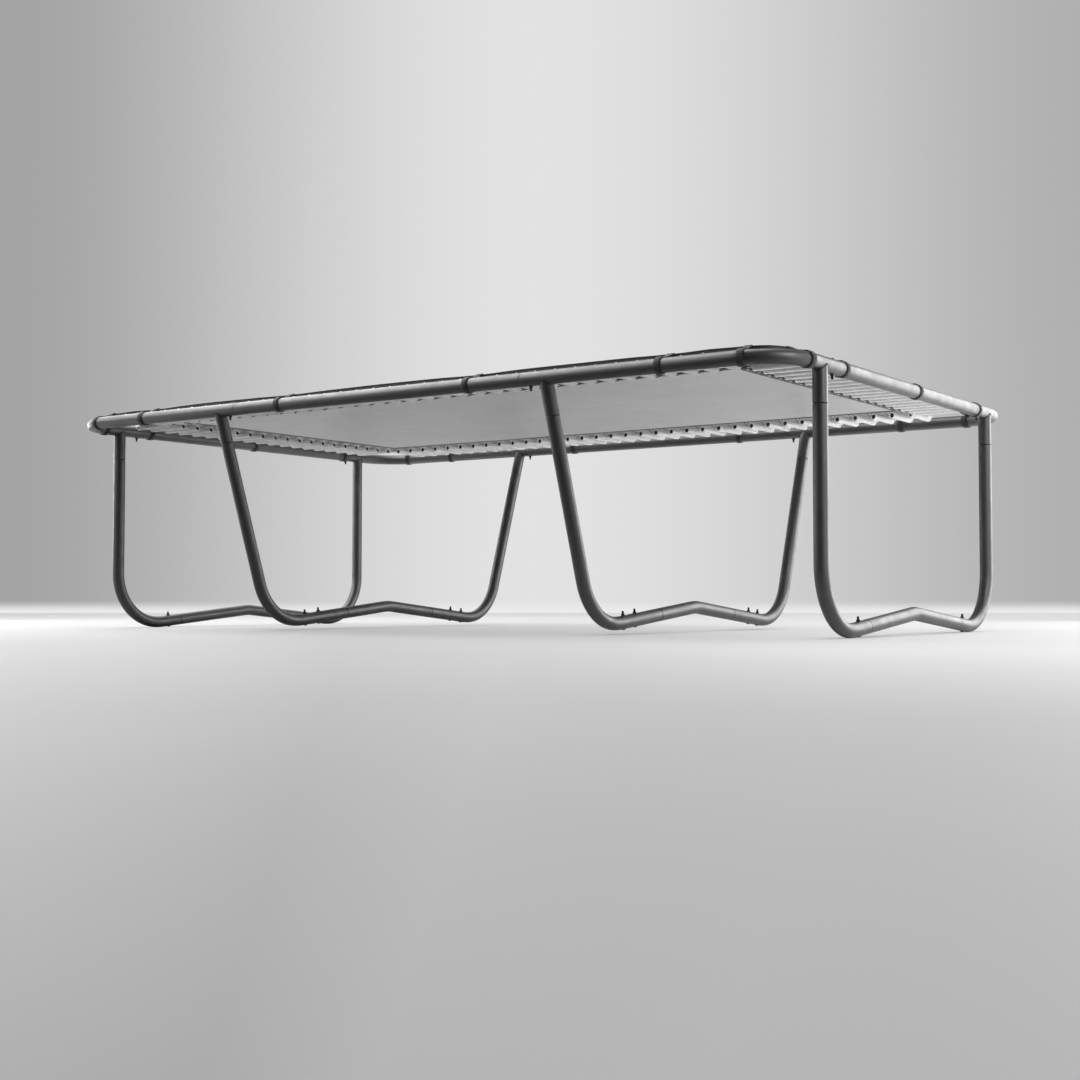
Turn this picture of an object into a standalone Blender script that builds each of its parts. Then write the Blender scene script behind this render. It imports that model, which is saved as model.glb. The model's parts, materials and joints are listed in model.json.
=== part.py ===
"""Rectangular garden trampoline at its real size.

Metres, +Z up. X runs along the long side and Y across it. The origin is on the ground
under the middle of the mat, and the end legs stand on the ground.
"""
import math

import bmesh
import bpy
from mathutils import Matrix, Vector

# Top frame, measured over the outsides of the tubes
FRAME_LENGTH = 4.140
FRAME_WIDTH = 2.5476
RAIL_HEIGHT = 1.0624
CORNER_RADIUS = 0.220
CORNER_STEPS = 5

# Steel tube and its plug-in joints
TUBE_OD = 0.060
TUBE_WALL = 0.0018
TUBE_SIDES = 8
JOINT_GAP = 0.0003
PLUG_CLEARANCE = 0.0004
FRAME_PLUG = 0.115
LEG_PLUG = 0.070
SHOULDER = 0.006

# Each leg's distance from the axis of the rail at its end of the side, and the arm that
# its corner tube runs on past it to the seam
MIDDLE_LEG_INSET = 1.082
END_LEG_INSET = 0.2908
LONG_ARM = 0.118
SHORT_ARM = 0.188

# Legs and the spreaders between their feet. A foot's length and bolts are measured from
# the end of its flat stretch.
STUB_LENGTH = 0.156
STUB_ROOT_SHARE = 0.8
STUB_DEPTH_SHARE = 0.5
LEG_BEND = 0.265
LEG_BEND_STEPS = 4
FOOT_FLAT = 0.030
END_PEAK_HEIGHT = 0.092
END_FOOT = 0.128
END_FOOT_PLUG = 0.105
END_FOOT_BOLTS = (0.055,)
MIDDLE_LEAN = math.radians(18.3)
MIDDLE_FOOT_LIFT = 0.018
MIDDLE_PEAK_HEIGHT = 0.117
MIDDLE_FOOT = 0.336
MIDDLE_FOOT_PLUG = 0.325
MIDDLE_FOOT_BOLTS = (0.139, 0.041)
SPREADER_BEND = 0.300
SPREADER_STEPS = 1

# Bolts. The rail bolts are measured from the seams, into the corner tubes.
BOLT_DIAMETER = 0.008
BOLT_SIDES = 6
HOLE_SIDES = 4
HEAD_DIAMETER = 0.017
HEAD_HEIGHT = 0.0042
CROWN_SHARE = 0.6
NUT_WIDTH = 0.0145
NUT_HEIGHT = 0.0070
BOLT_TAIL = 0.018
HOLE_CLEARANCE = 0.0006
LONG_BOLT_IN = 0.044
SHORT_BOLT_IN = 0.075

# Springs, hooked over the rail and through the wire rings. The last one of a row may
# stand a little past the mat's corner.
SPRING_PITCH = 0.0985
SPRING_PAST_CORNER = 0.030
SPRING_RISE = 0.018
SPRING_WIRE = 0.0046
WIRE_SIDES = 3
COIL_DIAMETER = 0.031
COIL_START = 0.056
COIL_END = 0.260
HOOK_TOP_INSET = 0.021
HOOK_TOP_RISE = 0.0430
HOOK_SLOPE = math.radians(40)
HOOK_LENGTH = 0.020
RING_INSET = 0.2806
RING_DROP = 0.0073
RING_TIP_WIDTH = 0.014
RING_BASE_WIDTH = 0.036
RING_SEWN = 0.008

# Jumping mat and the webbing sewn round its edge
MAT_INSET = 0.373
MAT_RISE = 0.030
MAT_THICKNESS = 0.0020
WEBBING_WIDTH = 0.045
WEBBING_THICKNESS = 0.0070
WEBBING_FOLD = 0.014

# Pad over the springs, in four mitred sections
PAD_OUTER_INSET = 0.080
PAD_INNER_INSET = 0.405
PAD_RISE = 0.040
PAD_THICKNESS = 0.022
PAD_EDGE_THICKNESS = 0.009
PAD_SIDE_DRAW = 0.004
PAD_MITRE_GAP = 0.001
PAD_STEP = 0.600
PAD_CORNER_STEPS = 2
PAD_ROWS = 4

# Straps that tie the pad to the rail. An inset is measured from the end of the side, and
# an offset from its middle.
STRAP_WIDTH = 0.024
STRAP_THICKNESS = 0.0014
STRAP_SIDES = 6
STRAP_TAIL = 0.014
STRAP_SEWN = 0.004
LONG_STRAP_INSET = 0.537
LONG_STRAP_OFFSET = 0.556
FRONT_STRAP_INSETS = (0.244, 0.528)
BACK_STRAP_INSET = 0.429
SHORT_STRAP_OFFSET = 0.040

SHARP_ANGLE = math.radians(50)

# Values worked out from the sizes above
TUBE_RADIUS = TUBE_OD / 2
BORE_RADIUS = TUBE_RADIUS - TUBE_WALL
PLUG_RADIUS = BORE_RADIUS - PLUG_CLEARANCE
PLUG_BORE_RADIUS = PLUG_RADIUS - TUBE_WALL
TUBE_FLAT = TUBE_RADIUS * math.cos(math.pi / TUBE_SIDES)
RAIL_TURN = 0.5
LEG_TURN = (TUBE_SIDES / 4 + 0.5) % 1
WIRE_TURN = 0.0
RAIL_X = FRAME_LENGTH / 2 - TUBE_RADIUS
RAIL_Y = FRAME_WIDTH / 2 - TUBE_RADIUS
MIDDLE_LEG_X = RAIL_X - MIDDLE_LEG_INSET
END_LEG_Y = RAIL_Y - END_LEG_INSET
LONG_SEAM = MIDDLE_LEG_X - LONG_ARM
SHORT_SEAM = END_LEG_Y - SHORT_ARM
LONG_BOLT = LONG_SEAM + LONG_BOLT_IN
SHORT_BOLT = SHORT_SEAM + SHORT_BOLT_IN
LONG_STRAPS = (LONG_STRAP_INSET - RAIL_X, -LONG_STRAP_OFFSET, LONG_STRAP_OFFSET,
               RAIL_X - LONG_STRAP_INSET)
SHORT_STRAPS = (FRONT_STRAP_INSETS[0] - RAIL_Y, FRONT_STRAP_INSETS[1] - RAIL_Y,
                SHORT_STRAP_OFFSET, RAIL_Y - BACK_STRAP_INSET)
WIRE_RADIUS = SPRING_WIRE / 2
HOOK_ANGLE = 2 * math.pi / TUBE_SIDES
COIL_SIDES = 2 * WIRE_SIDES

X_AXIS = Vector((1, 0, 0))
Y_AXIS = Vector((0, 1, 0))
Z_AXIS = Vector((0, 0, 1))
CORNERS = (
    ("front_left", -1, -1),
    ("front_right", 1, -1),
    ("back_left", -1, 1),
    ("back_right", 1, 1),
)


# Materials and objects

def material(name, colour, roughness, metallic=0.0):
    """A Principled material with one colour."""
    made = bpy.data.materials.new(name)
    made.use_nodes = True
    shader = made.node_tree.nodes["Principled BSDF"]
    shader.inputs["Base Color"].default_value = (*colour, 1.0)
    shader.inputs["Roughness"].default_value = roughness
    shader.inputs["Metallic"].default_value = metallic
    made.diffuse_color = (*colour, 1.0)
    return made


def make_object(name, bm, surface, place=(0, 0, 0)):
    """Turn a bmesh drawn in world places into an object with its origin at place."""
    bmesh.ops.translate(bm, verts=bm.verts, vec=-Vector(place))
    bmesh.ops.recalc_face_normals(bm, faces=bm.faces)
    mesh = bpy.data.meshes.new(name)
    bm.to_mesh(mesh)
    bm.free()
    mesh.shade_smooth()
    mesh.set_sharp_from_angle(angle=SHARP_ANGLE)
    mesh.materials.append(surface)
    made = bpy.data.objects.new(name, mesh)
    made.location = place
    bpy.context.scene.collection.objects.link(made)
    return made


def boolean(target, bm, operation, purpose):
    """Join the closed bodies in bm to the target, or cut them away."""
    other = make_object(target.name + "_" + purpose, bm, target.data.materials[0],
                        target.location)
    other.hide_render = True
    other.display_type = "WIRE"
    step = target.modifiers.new(purpose, "BOOLEAN")
    step.operation = operation
    step.solver = "EXACT"
    step.object = other


# Rings of points along a flat path

def heading(path, index):
    """Direction of a path at one point and how far it turns there. Points may repeat."""
    here = path[index]
    back = [here - spot for spot in path[:index] if (here - spot).length > 0]
    ahead = [spot - here for spot in path[index + 1:] if (spot - here).length > 0]
    if not back:
        return ahead[0].normalized(), 0.0
    if not ahead:
        return back[-1].normalized(), 0.0
    before = back[-1].normalized()
    after = ahead[0].normalized()
    return (before + after).normalized(), before.angle(after)


def ring(bm, spot, direction, turn, radius, normal, sides, first):
    """Ring of points across a path whose plane has the given normal. The first point
    lies a share of one side round from the normal."""
    across = normal.cross(direction).normalized() / math.cos(turn / 2)
    points = []
    for side in range(sides):
        angle = 2 * math.pi * (side + first) / sides
        offset = normal * math.cos(angle) + across * math.sin(angle)
        points.append(bm.verts.new(spot + offset * radius))
    return points


def sweep(bm, stations, normal, sides, first):
    """Skin along (spot, radius) stations. Returns the first and the last ring."""
    path = [spot for spot, radius in stations]
    rings = []
    for index, (spot, radius) in enumerate(stations):
        direction, turn = heading(path, index)
        rings.append(ring(bm, spot, direction, turn, radius, normal, sides, first))
    for low, high in zip(rings, rings[1:]):
        skin(bm, low, high)
    return rings[0], rings[-1]


def skin(bm, low, high):
    """Faces between two rings with as many points."""
    for index in range(len(low)):
        after = (index + 1) % len(low)
        bm.faces.new((low[index], low[after], high[after], high[index]))


def widen(bm, low, high):
    """Faces between a ring and one with twice as many points."""
    for index in range(len(low)):
        after = (index + 1) % len(low)
        wide = 2 * index
        bm.faces.new((low[index], high[wide + 1], high[wide]))
        bm.faces.new((low[index], low[after], high[(wide + 2) % len(high)], high[wide + 1]))


def bar(bm, stations, normal, sides, first):
    """A closed solid along (spot, radius) stations."""
    for end in sweep(bm, stations, normal, sides, first):
        bm.faces.new(end)


def tube(bm, outside, inside, normal, first):
    """A tube that is open at both ends."""
    outer = sweep(bm, outside, normal, TUBE_SIDES, first)
    inner = sweep(bm, inside, normal, TUBE_SIDES, first)
    skin(bm, outer[0], inner[0])
    skin(bm, outer[1], inner[1])


def arc(centre, start, end, radius, steps):
    """Points on an arc from the direction start to the direction end."""
    turn = start.angle(end)
    side = (end - start * end.dot(start)).normalized()
    points = []
    for step in range(steps + 1):
        angle = turn * step / steps
        points.append(centre + (start * math.cos(angle) + side * math.sin(angle)) * radius)
    return points


def axes_frame(origin, up, along):
    """Matrix at origin with Z along up and X along the given direction."""
    side = up.cross(along).normalized()
    return Matrix.Translation(origin) @ Matrix((along, side, up)).transposed().to_4x4()


def turned(bm, profile, sides, frame):
    """A closed turned piece from (radius, height) pairs, flat at both ends."""
    rings = []
    for radius, height in profile:
        made = []
        for side in range(sides):
            angle = 2 * math.pi * side / sides
            spot = Vector((radius * math.cos(angle), radius * math.sin(angle), height))
            made.append(bm.verts.new(frame @ spot))
        rings.append(made)
    for low, high in zip(rings, rings[1:]):
        skin(bm, low, high)
    bm.faces.new(rings[0])
    bm.faces.new(rings[-1])


# Bolts and their holes. Each frame is on a tube's axis with Z towards the head.

def make_bolt(name, frame, steel):
    """Domed bolt through a tube, with its six-sided nut screwed on."""
    seat = TUBE_FLAT + JOINT_GAP
    nut_end = -seat - NUT_HEIGHT
    end = -TUBE_FLAT - BOLT_TAIL
    shank = BOLT_DIAMETER / 2
    corner = NUT_WIDTH / 2 / math.cos(math.pi / BOLT_SIDES)
    crown = HEAD_DIAMETER / 2 * CROWN_SHARE
    profile = ((crown, seat + HEAD_HEIGHT), (HEAD_DIAMETER / 2, seat), (shank, seat),
               (shank, -seat), (corner, -seat), (corner, nut_end), (shank, nut_end),
               (shank, end))
    bm = bmesh.new()
    turned(bm, profile, BOLT_SIDES, frame)
    make_object(name, bm, steel, frame.translation)


def add_hole(bm, frame):
    """Body that cuts a bolt's hole through both walls, square like the bolt's neck."""
    half = BOLT_DIAMETER / 2 + HOLE_CLEARANCE
    corner = half / math.cos(math.pi / HOLE_SIDES)
    turned(bm, ((corner, TUBE_OD), (corner, -TUBE_OD)), HOLE_SIDES, frame)


def rail_bolt_frames(sx, sy):
    """The two bolts of one corner tube, heads on top."""
    on_long = Vector((sx * LONG_BOLT, sy * RAIL_Y, RAIL_HEIGHT))
    on_short = Vector((sx * RAIL_X, sy * SHORT_BOLT, RAIL_HEIGHT))
    return axes_frame(on_long, Z_AXIS, X_AXIS), axes_frame(on_short, Z_AXIS, Y_AXIS)


# Leg sets: flat frames across the width, each at one distance along the rail

class LegSet:
    """Sizes of one kind of leg set and the line that its tubes follow.

    A spot is a pair: distance from the middle of the width, and height.
    """

    def __init__(self, plane, top, lean, lift, peak, foot, plug, bolts):
        self.plane = plane
        self.top = top
        self.down = (-math.sin(lean), -math.cos(lean))
        self.foot_height = lift + TUBE_FLAT
        rise = RAIL_HEIGHT - self.foot_height - LEG_BEND
        reach = (LEG_BEND + rise * math.sin(lean)) / math.cos(lean)
        self.bend_centre = (top - reach, self.foot_height + LEG_BEND)
        self.flat_end = self.bend_centre[0] - FOOT_FLAT
        self.slope = math.atan2(peak - self.foot_height, self.flat_end)
        self.peak = peak
        self.seam = self.flat_end - foot
        self.plug = plug
        self.bolts = [self.flat_end - along for along in bolts]

    def place(self, sx, sy, spot):
        """World place of a spot."""
        return Vector((sx * self.plane, sy * spot[0], spot[1]))

    def on_leg(self, distance):
        """Spot on the upright, measured down from the axis of the rail."""
        return self.top + self.down[0] * distance, RAIL_HEIGHT + self.down[1] * distance

    def on_run(self, across):
        """Spot on the run that rises from the foot to the peak."""
        return across, self.foot_height + (self.flat_end - across) * math.tan(self.slope)

    def bend(self):
        """Spots of the large bend, from the upright to the foot."""
        centre = Vector((*self.bend_centre, 0))
        outward = Vector((-self.down[1], self.down[0], 0))
        points = arc(centre, outward, -Y_AXIS, LEG_BEND, LEG_BEND_STEPS)
        return [(point.x, point.y) for point in points]

    def bolt_frames(self, sx, sy):
        """The bolts of one foot, heads below."""
        below = Vector((0, -sy * math.sin(self.slope), -math.cos(self.slope)))
        return [axes_frame(self.place(sx, sy, self.on_run(across)), below, X_AXIS)
                for across in self.bolts]


END_SET = LegSet(RAIL_X, END_LEG_Y, 0.0, 0.0, END_PEAK_HEIGHT, END_FOOT, END_FOOT_PLUG,
                 END_FOOT_BOLTS)
MIDDLE_SET = LegSet(MIDDLE_LEG_X, RAIL_Y, MIDDLE_LEAN, MIDDLE_FOOT_LIFT, MIDDLE_PEAK_HEIGHT,
                    MIDDLE_FOOT, MIDDLE_FOOT_PLUG, MIDDLE_FOOT_BOLTS)


def make_leg(name, kind, sx, sy, steel):
    """J-shaped leg: a thinner plug on top, one large bend and an open foot."""
    seam = STUB_LENGTH + JOINT_GAP
    tip = kind.place(sx, sy, kind.on_leg(seam - LEG_PLUG))
    shoulder = kind.place(sx, sy, kind.on_leg(seam))
    line = kind.bend() + [(kind.flat_end, kind.foot_height)]
    line.append(kind.on_run(kind.seam + JOINT_GAP / 2))
    line = [kind.place(sx, sy, spot) for spot in line]
    outside = [(tip, PLUG_RADIUS), (shoulder, PLUG_RADIUS), (shoulder, TUBE_RADIUS)]
    outside += [(spot, TUBE_RADIUS) for spot in line]
    inside = [(tip, PLUG_BORE_RADIUS)] + [(spot, BORE_RADIUS) for spot in line]
    bm = bmesh.new()
    tube(bm, outside, inside, X_AXIS, LEG_TURN)
    leg = make_object(name, bm, steel, shoulder)
    holes = bmesh.new()
    for frame in kind.bolt_frames(sx, sy):
        add_hole(holes, frame)
    boolean(leg, holes, "DIFFERENCE", "bolt_holes")


def make_spreader(name, kind, sx, steel):
    """Low bent tube between two feet, with a thinner plug at each end."""
    seam = kind.seam - JOINT_GAP / 2
    outside = []
    inside = []
    for sy in (-1, 1):
        tip = kind.place(sx, sy, kind.on_run(kind.seam + kind.plug))
        shoulder = kind.place(sx, sy, kind.on_run(seam))
        inner_shoulder = kind.place(sx, sy, kind.on_run(seam - SHOULDER))
        ends_out = [(tip, PLUG_RADIUS), (shoulder, PLUG_RADIUS), (shoulder, TUBE_RADIUS)]
        ends_in = [(tip, PLUG_BORE_RADIUS), (inner_shoulder, PLUG_BORE_RADIUS)]
        outside += ends_out if sy < 0 else ends_out[::-1]
        inside += ends_in if sy < 0 else ends_in[::-1]
    centre = kind.place(sx, 0, (0, kind.peak - SPREADER_BEND / math.cos(kind.slope)))
    start = Vector((0, -math.sin(kind.slope), math.cos(kind.slope)))
    end = Vector((0, math.sin(kind.slope), math.cos(kind.slope)))
    bend = arc(centre, start, end, SPREADER_BEND, SPREADER_STEPS)
    outside[3:3] = [(spot, TUBE_RADIUS) for spot in bend]
    inside[2:2] = [(spot, BORE_RADIUS) for spot in bend]
    bm = bmesh.new()
    tube(bm, outside, inside, X_AXIS, LEG_TURN)
    spreader = make_object(name, bm, steel, kind.place(sx, 0, (0, kind.peak)))
    holes = bmesh.new()
    for sy in (-1, 1):
        for frame in kind.bolt_frames(sx, sy):
            add_hole(holes, frame)
    boolean(spreader, holes, "DIFFERENCE", "bolt_holes")


# Sides of the frame. A side's own axes are X along the rail, Y towards the mat and Z up,
# with the origin at the middle of the rail's axis.

def side_frame(inward):
    """Matrix of the side of the frame that faces the mat along inward."""
    middle = Vector((-inward.x * RAIL_X, -inward.y * RAIL_Y, RAIL_HEIGHT))
    return axes_frame(middle, Z_AXIS, inward.cross(Z_AXIS))


SIDES = (
    ("front", side_frame(Y_AXIS), RAIL_X, LONG_STRAPS),
    ("back", side_frame(-Y_AXIS), RAIL_X, LONG_STRAPS),
    ("left", side_frame(X_AXIS), RAIL_Y, [-place for place in SHORT_STRAPS]),
    ("right", side_frame(-X_AXIS), RAIL_Y, SHORT_STRAPS),
)


# Top frame

def corner_line(sx, sy, past_end=0.0):
    """Axis of a corner tube, from its long side round to its short side."""
    end = JOINT_GAP / 2 - past_end
    centre = Vector((sx * (RAIL_X - CORNER_RADIUS), sy * (RAIL_Y - CORNER_RADIUS), RAIL_HEIGHT))
    line = [Vector((sx * (LONG_SEAM + end), sy * RAIL_Y, RAIL_HEIGHT))]
    line += arc(centre, sy * Y_AXIS, sx * X_AXIS, CORNER_RADIUS, CORNER_STEPS)
    line.append(Vector((sx * RAIL_X, sy * (SHORT_SEAM + end), RAIL_HEIGHT)))
    return line


def make_corner_tube(name, sx, sy, steel):
    """L-shaped rail with the welded stubs of an end leg and of a middle leg."""
    bm = bmesh.new()
    line = corner_line(sx, sy)
    bar(bm, [(spot, TUBE_RADIUS) for spot in line], Z_AXIS, TUBE_SIDES, RAIL_TURN)
    corner = make_object(name, bm, steel, (sx * RAIL_X, sy * RAIL_Y, RAIL_HEIGHT))
    stubs = bmesh.new()
    stub_bores = bmesh.new()
    for kind in (END_SET, MIDDLE_SET):
        weld = [(kind.place(sx, sy, kind.on_leg(0)), TUBE_RADIUS * STUB_ROOT_SHARE)]
        for distance in (TUBE_RADIUS * STUB_DEPTH_SHARE, STUB_LENGTH):
            weld.append((kind.place(sx, sy, kind.on_leg(distance)), TUBE_RADIUS))
        bar(stubs, weld, X_AXIS, TUBE_SIDES, LEG_TURN)
        bore = [(kind.place(sx, sy, kind.on_leg(distance)), BORE_RADIUS)
                for distance in (TUBE_RADIUS + 2 * TUBE_WALL, STUB_LENGTH + TUBE_WALL)]
        bar(stub_bores, bore, X_AXIS, TUBE_SIDES, LEG_TURN)
    boolean(corner, stubs, "UNION", "stubs")
    bores = bmesh.new()
    bore_line = corner_line(sx, sy, TUBE_WALL)
    bar(bores, [(spot, BORE_RADIUS) for spot in bore_line], Z_AXIS, TUBE_SIDES, RAIL_TURN)
    boolean(corner, bores, "DIFFERENCE", "bore")
    boolean(corner, stub_bores, "DIFFERENCE", "stub_bores")
    holes = bmesh.new()
    for frame in rail_bolt_frames(sx, sy):
        add_hole(holes, frame)
    boolean(corner, holes, "DIFFERENCE", "bolt_holes")
    springs = bmesh.new()
    for side, reach, seam in ((sy * Y_AXIS, RAIL_X, LONG_SEAM),
                              (sx * X_AXIS, RAIL_Y, SHORT_SEAM)):
        frame = side_frame(-side)
        for shift in spring_places(reach):
            spot = frame @ Vector((shift, 0, 0))
            along = spot.x * sx if side.x == 0 else spot.y * sy
            if along > seam:
                add_spring(springs, frame @ Matrix.Translation((shift, 0, 0)))
    boolean(corner, springs, "UNION", "springs")


def make_plain_rail(name, frame, reach, steel):
    """Straight rail tube with a thinner plug at each end and its row of springs."""
    seam, bolt = (LONG_SEAM, LONG_BOLT) if reach == RAIL_X else (SHORT_SEAM, SHORT_BOLT)
    middle = frame.translation
    along = (frame @ X_AXIS) - middle
    shoulder = seam - JOINT_GAP / 2
    tip = seam + FRAME_PLUG
    inner = shoulder - SHOULDER
    outside = [(-tip, PLUG_RADIUS), (-shoulder, PLUG_RADIUS), (-shoulder, TUBE_RADIUS),
               (shoulder, TUBE_RADIUS), (shoulder, PLUG_RADIUS), (tip, PLUG_RADIUS)]
    inside = [(-tip, PLUG_BORE_RADIUS), (-inner, PLUG_BORE_RADIUS), (-inner, BORE_RADIUS),
              (inner, BORE_RADIUS), (inner, PLUG_BORE_RADIUS), (tip, PLUG_BORE_RADIUS)]
    outside = [(middle + along * distance, radius) for distance, radius in outside]
    inside = [(middle + along * distance, radius) for distance, radius in inside]
    bm = bmesh.new()
    tube(bm, outside, inside, Z_AXIS, RAIL_TURN)
    rail = make_object(name, bm, steel, middle)
    holes = bmesh.new()
    for end in (-1, 1):
        add_hole(holes, axes_frame(middle + along * end * bolt, Z_AXIS, along))
    boolean(rail, holes, "DIFFERENCE", "bolt_holes")
    springs = bmesh.new()
    for shift in spring_places(reach):
        if abs(shift) < seam:
            add_spring(springs, frame @ Matrix.Translation((shift, 0, 0)))
    boolean(rail, springs, "UNION", "springs")


def spring_places(reach):
    """Distances of a side's springs from its middle, where one stands."""
    half = math.floor((reach - MAT_INSET + SPRING_PAST_CORNER) / SPRING_PITCH)
    return [index * SPRING_PITCH for index in range(-half, half + 1)]


def add_spring(bm, frame):
    """One spring: a hook through the rail's wall, the coil's outline and a hook that
    passes over the tip of a ring and down through it."""
    radial = Vector((0, math.sin(HOOK_ANGLE), math.cos(HOOK_ANGLE)))
    wall_middle = (TUBE_RADIUS - TUBE_WALL / 2) * math.cos(math.pi / TUBE_SIDES)
    above = Vector((0, math.sin(HOOK_SLOPE), math.cos(HOOK_SLOPE)))
    down = Vector((0, math.cos(HOOK_SLOPE), -math.sin(HOOK_SLOPE)))
    corners, ring_normal = ring_shape()
    spacing = JOINT_GAP + wire_reach(X_AXIS, down, -above)
    spacing += wire_reach(ring_normal, X_AXIS, above)
    over_ring = (corners[1] + corners[2]) / 2 + above * spacing
    half_hook = down * HOOK_LENGTH / 2
    wire = [radial * wall_middle, Vector((0, HOOK_TOP_INSET, HOOK_TOP_RISE)),
            over_ring - half_hook, over_ring + half_hook]
    coil = [Vector((0, COIL_START, SPRING_RISE)), Vector((0, COIL_END, SPRING_RISE))]
    path = wire[:2] + coil + wire[2:]
    rings = []
    for index, spot in enumerate(path):
        direction, turn = heading(path, index)
        sides, radius = WIRE_SIDES, WIRE_RADIUS
        if index == 0:
            direction = radial
        if spot in coil:
            direction, turn = Y_AXIS, 0.0
            sides, radius = COIL_SIDES, COIL_DIAMETER / 2
        rings.append(ring(bm, spot, direction, turn, radius, X_AXIS, sides, WIRE_TURN))
    for low, high in zip(rings, rings[1:]):
        if len(low) == len(high):
            skin(bm, low, high)
        elif len(low) < len(high):
            widen(bm, low, high)
        else:
            widen(bm, high, low)
    bm.faces.new(rings[0])
    bm.faces.new(rings[-1])
    bmesh.ops.transform(bm, matrix=frame, verts=[vert for made in rings for vert in made])


def wire_reach(normal, direction, way):
    """How far a wire's corners reach from its middle along a way square to it."""
    across = normal.cross(direction)
    turns = [2 * math.pi * (side + WIRE_TURN) / WIRE_SIDES for side in range(WIRE_SIDES)]
    return WIRE_RADIUS * max((normal * math.cos(turn) + across * math.sin(turn)).dot(way)
                             for turn in turns)


def ring_shape():
    """Corners of a ring in its side's axes, and the normal of its plane."""
    tip_rise = SPRING_RISE - RING_DROP
    base_inset = MAT_INSET + RING_SEWN
    corners = [
        Vector((-RING_BASE_WIDTH / 2, base_inset, MAT_RISE)),
        Vector((-RING_TIP_WIDTH / 2, RING_INSET, tip_rise)),
        Vector((RING_TIP_WIDTH / 2, RING_INSET, tip_rise)),
        Vector((RING_BASE_WIDTH / 2, base_inset, MAT_RISE)),
    ]
    return corners, (corners[1] - corners[0]).cross(corners[2] - corners[1]).normalized()


def add_ring(bm, frame):
    """Wire ring whose two ends are sewn into the webbing."""
    corners, normal = ring_shape()
    path = [frame @ corner for corner in corners]
    normal = (frame.to_3x3() @ normal).normalized()
    bar(bm, [(spot, WIRE_RADIUS) for spot in path], normal, WIRE_SIDES, WIRE_TURN)


def make_mat(cloth):
    """Woven jumping mat, held in the webbing."""
    inset = MAT_INSET + WEBBING_FOLD + JOINT_GAP
    bm = bmesh.new()
    bmesh.ops.create_cube(bm, size=1)
    size = (2 * (RAIL_X - inset), 2 * (RAIL_Y - inset), MAT_THICKNESS)
    bmesh.ops.scale(bm, verts=bm.verts, vec=size)
    middle = Vector((0, 0, RAIL_HEIGHT + MAT_RISE))
    bmesh.ops.translate(bm, verts=bm.verts, vec=middle)
    make_object("jumping_mat", bm, cloth, middle)


def make_webbing(fabric):
    """Webbing folded round the edge of the mat, with all the rings sewn into its fold."""
    half = WEBBING_THICKNESS / 2
    slot = MAT_THICKNESS / 2 + JOINT_GAP
    fold = MAT_INSET + WEBBING_FOLD
    inner = MAT_INSET + WEBBING_WIDTH
    section = ((MAT_INSET, -half), (MAT_INSET, half), (inner, half), (inner, slot),
               (fold, slot), (fold, -slot), (inner, -slot), (inner, -half))
    bm = bmesh.new()
    rings = []
    for sx, sy in ((-1, -1), (1, -1), (1, 1), (-1, 1)):
        points = []
        for inset, rise in section:
            spot = (sx * (RAIL_X - inset), sy * (RAIL_Y - inset), RAIL_HEIGHT + MAT_RISE + rise)
            points.append(bm.verts.new(spot))
        rings.append(points)
    for index, low in enumerate(rings):
        skin(bm, low, rings[(index + 1) % len(rings)])
    webbing = make_object("mat_webbing", bm, fabric, (0, 0, RAIL_HEIGHT + MAT_RISE))
    wire_rings = bmesh.new()
    for _, frame, reach, _ in SIDES:
        for shift in spring_places(reach):
            add_ring(wire_rings, frame @ Matrix.Translation((shift, 0, 0)))
    boolean(webbing, wire_rings, "UNION", "rings")


def pad_lines(reach):
    """Pairs of (along, inset) spots, on the outer and the inner edge of one pad section."""
    corner = reach - CORNER_RADIUS
    radius = CORNER_RADIUS - PAD_OUTER_INSET
    inner_end = reach - PAD_INNER_INSET
    outer = []
    for step in range(PAD_CORNER_STEPS):
        angle = math.pi / 4 * (1 - step / PAD_CORNER_STEPS)
        outer.append((corner + radius * math.sin(angle),
                      CORNER_RADIUS - radius * math.cos(angle)))
    spans = max(2, 2 * round(corner / PAD_STEP))
    for step in range(spans + 1):
        outer.append((corner * (1 - 2 * step / spans), PAD_OUTER_INSET))
    outer += [(-along, inset) for along, inset in reversed(outer[:PAD_CORNER_STEPS])]
    widest = outer[0][0]
    shift = PAD_MITRE_GAP / math.sqrt(2)
    pairs = []
    for along, inset in outer:
        share = along / widest
        pulled = along - shift * share
        pairs.append(((pulled, inset), ((inner_end - shift) * share, PAD_INNER_INSET)))
    return pairs


def pad_section(outer, inner):
    """Points round the pad at one line across it: flat below, crowned above."""
    start = Vector((*outer, 0))
    across = Vector((*inner, 0)) - start
    draw = PAD_SIDE_DRAW / across.length
    half_edge = PAD_EDGE_THICKNESS / 2
    points = []

    def add(share, rise):
        points.append(start + across * share + Z_AXIS * rise)

    add(0, PAD_RISE)
    add(draw, PAD_RISE + half_edge)
    for row in range(PAD_ROWS):
        share = row / (PAD_ROWS - 1)
        crown = math.sqrt(math.sin(math.pi * share)) if 0 < row < PAD_ROWS - 1 else 0
        rise = PAD_EDGE_THICKNESS + (PAD_THICKNESS - PAD_EDGE_THICKNESS) * crown
        add(share, PAD_RISE + rise)
    add(1 - draw, PAD_RISE + half_edge)
    add(1, PAD_RISE)
    return points


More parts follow.
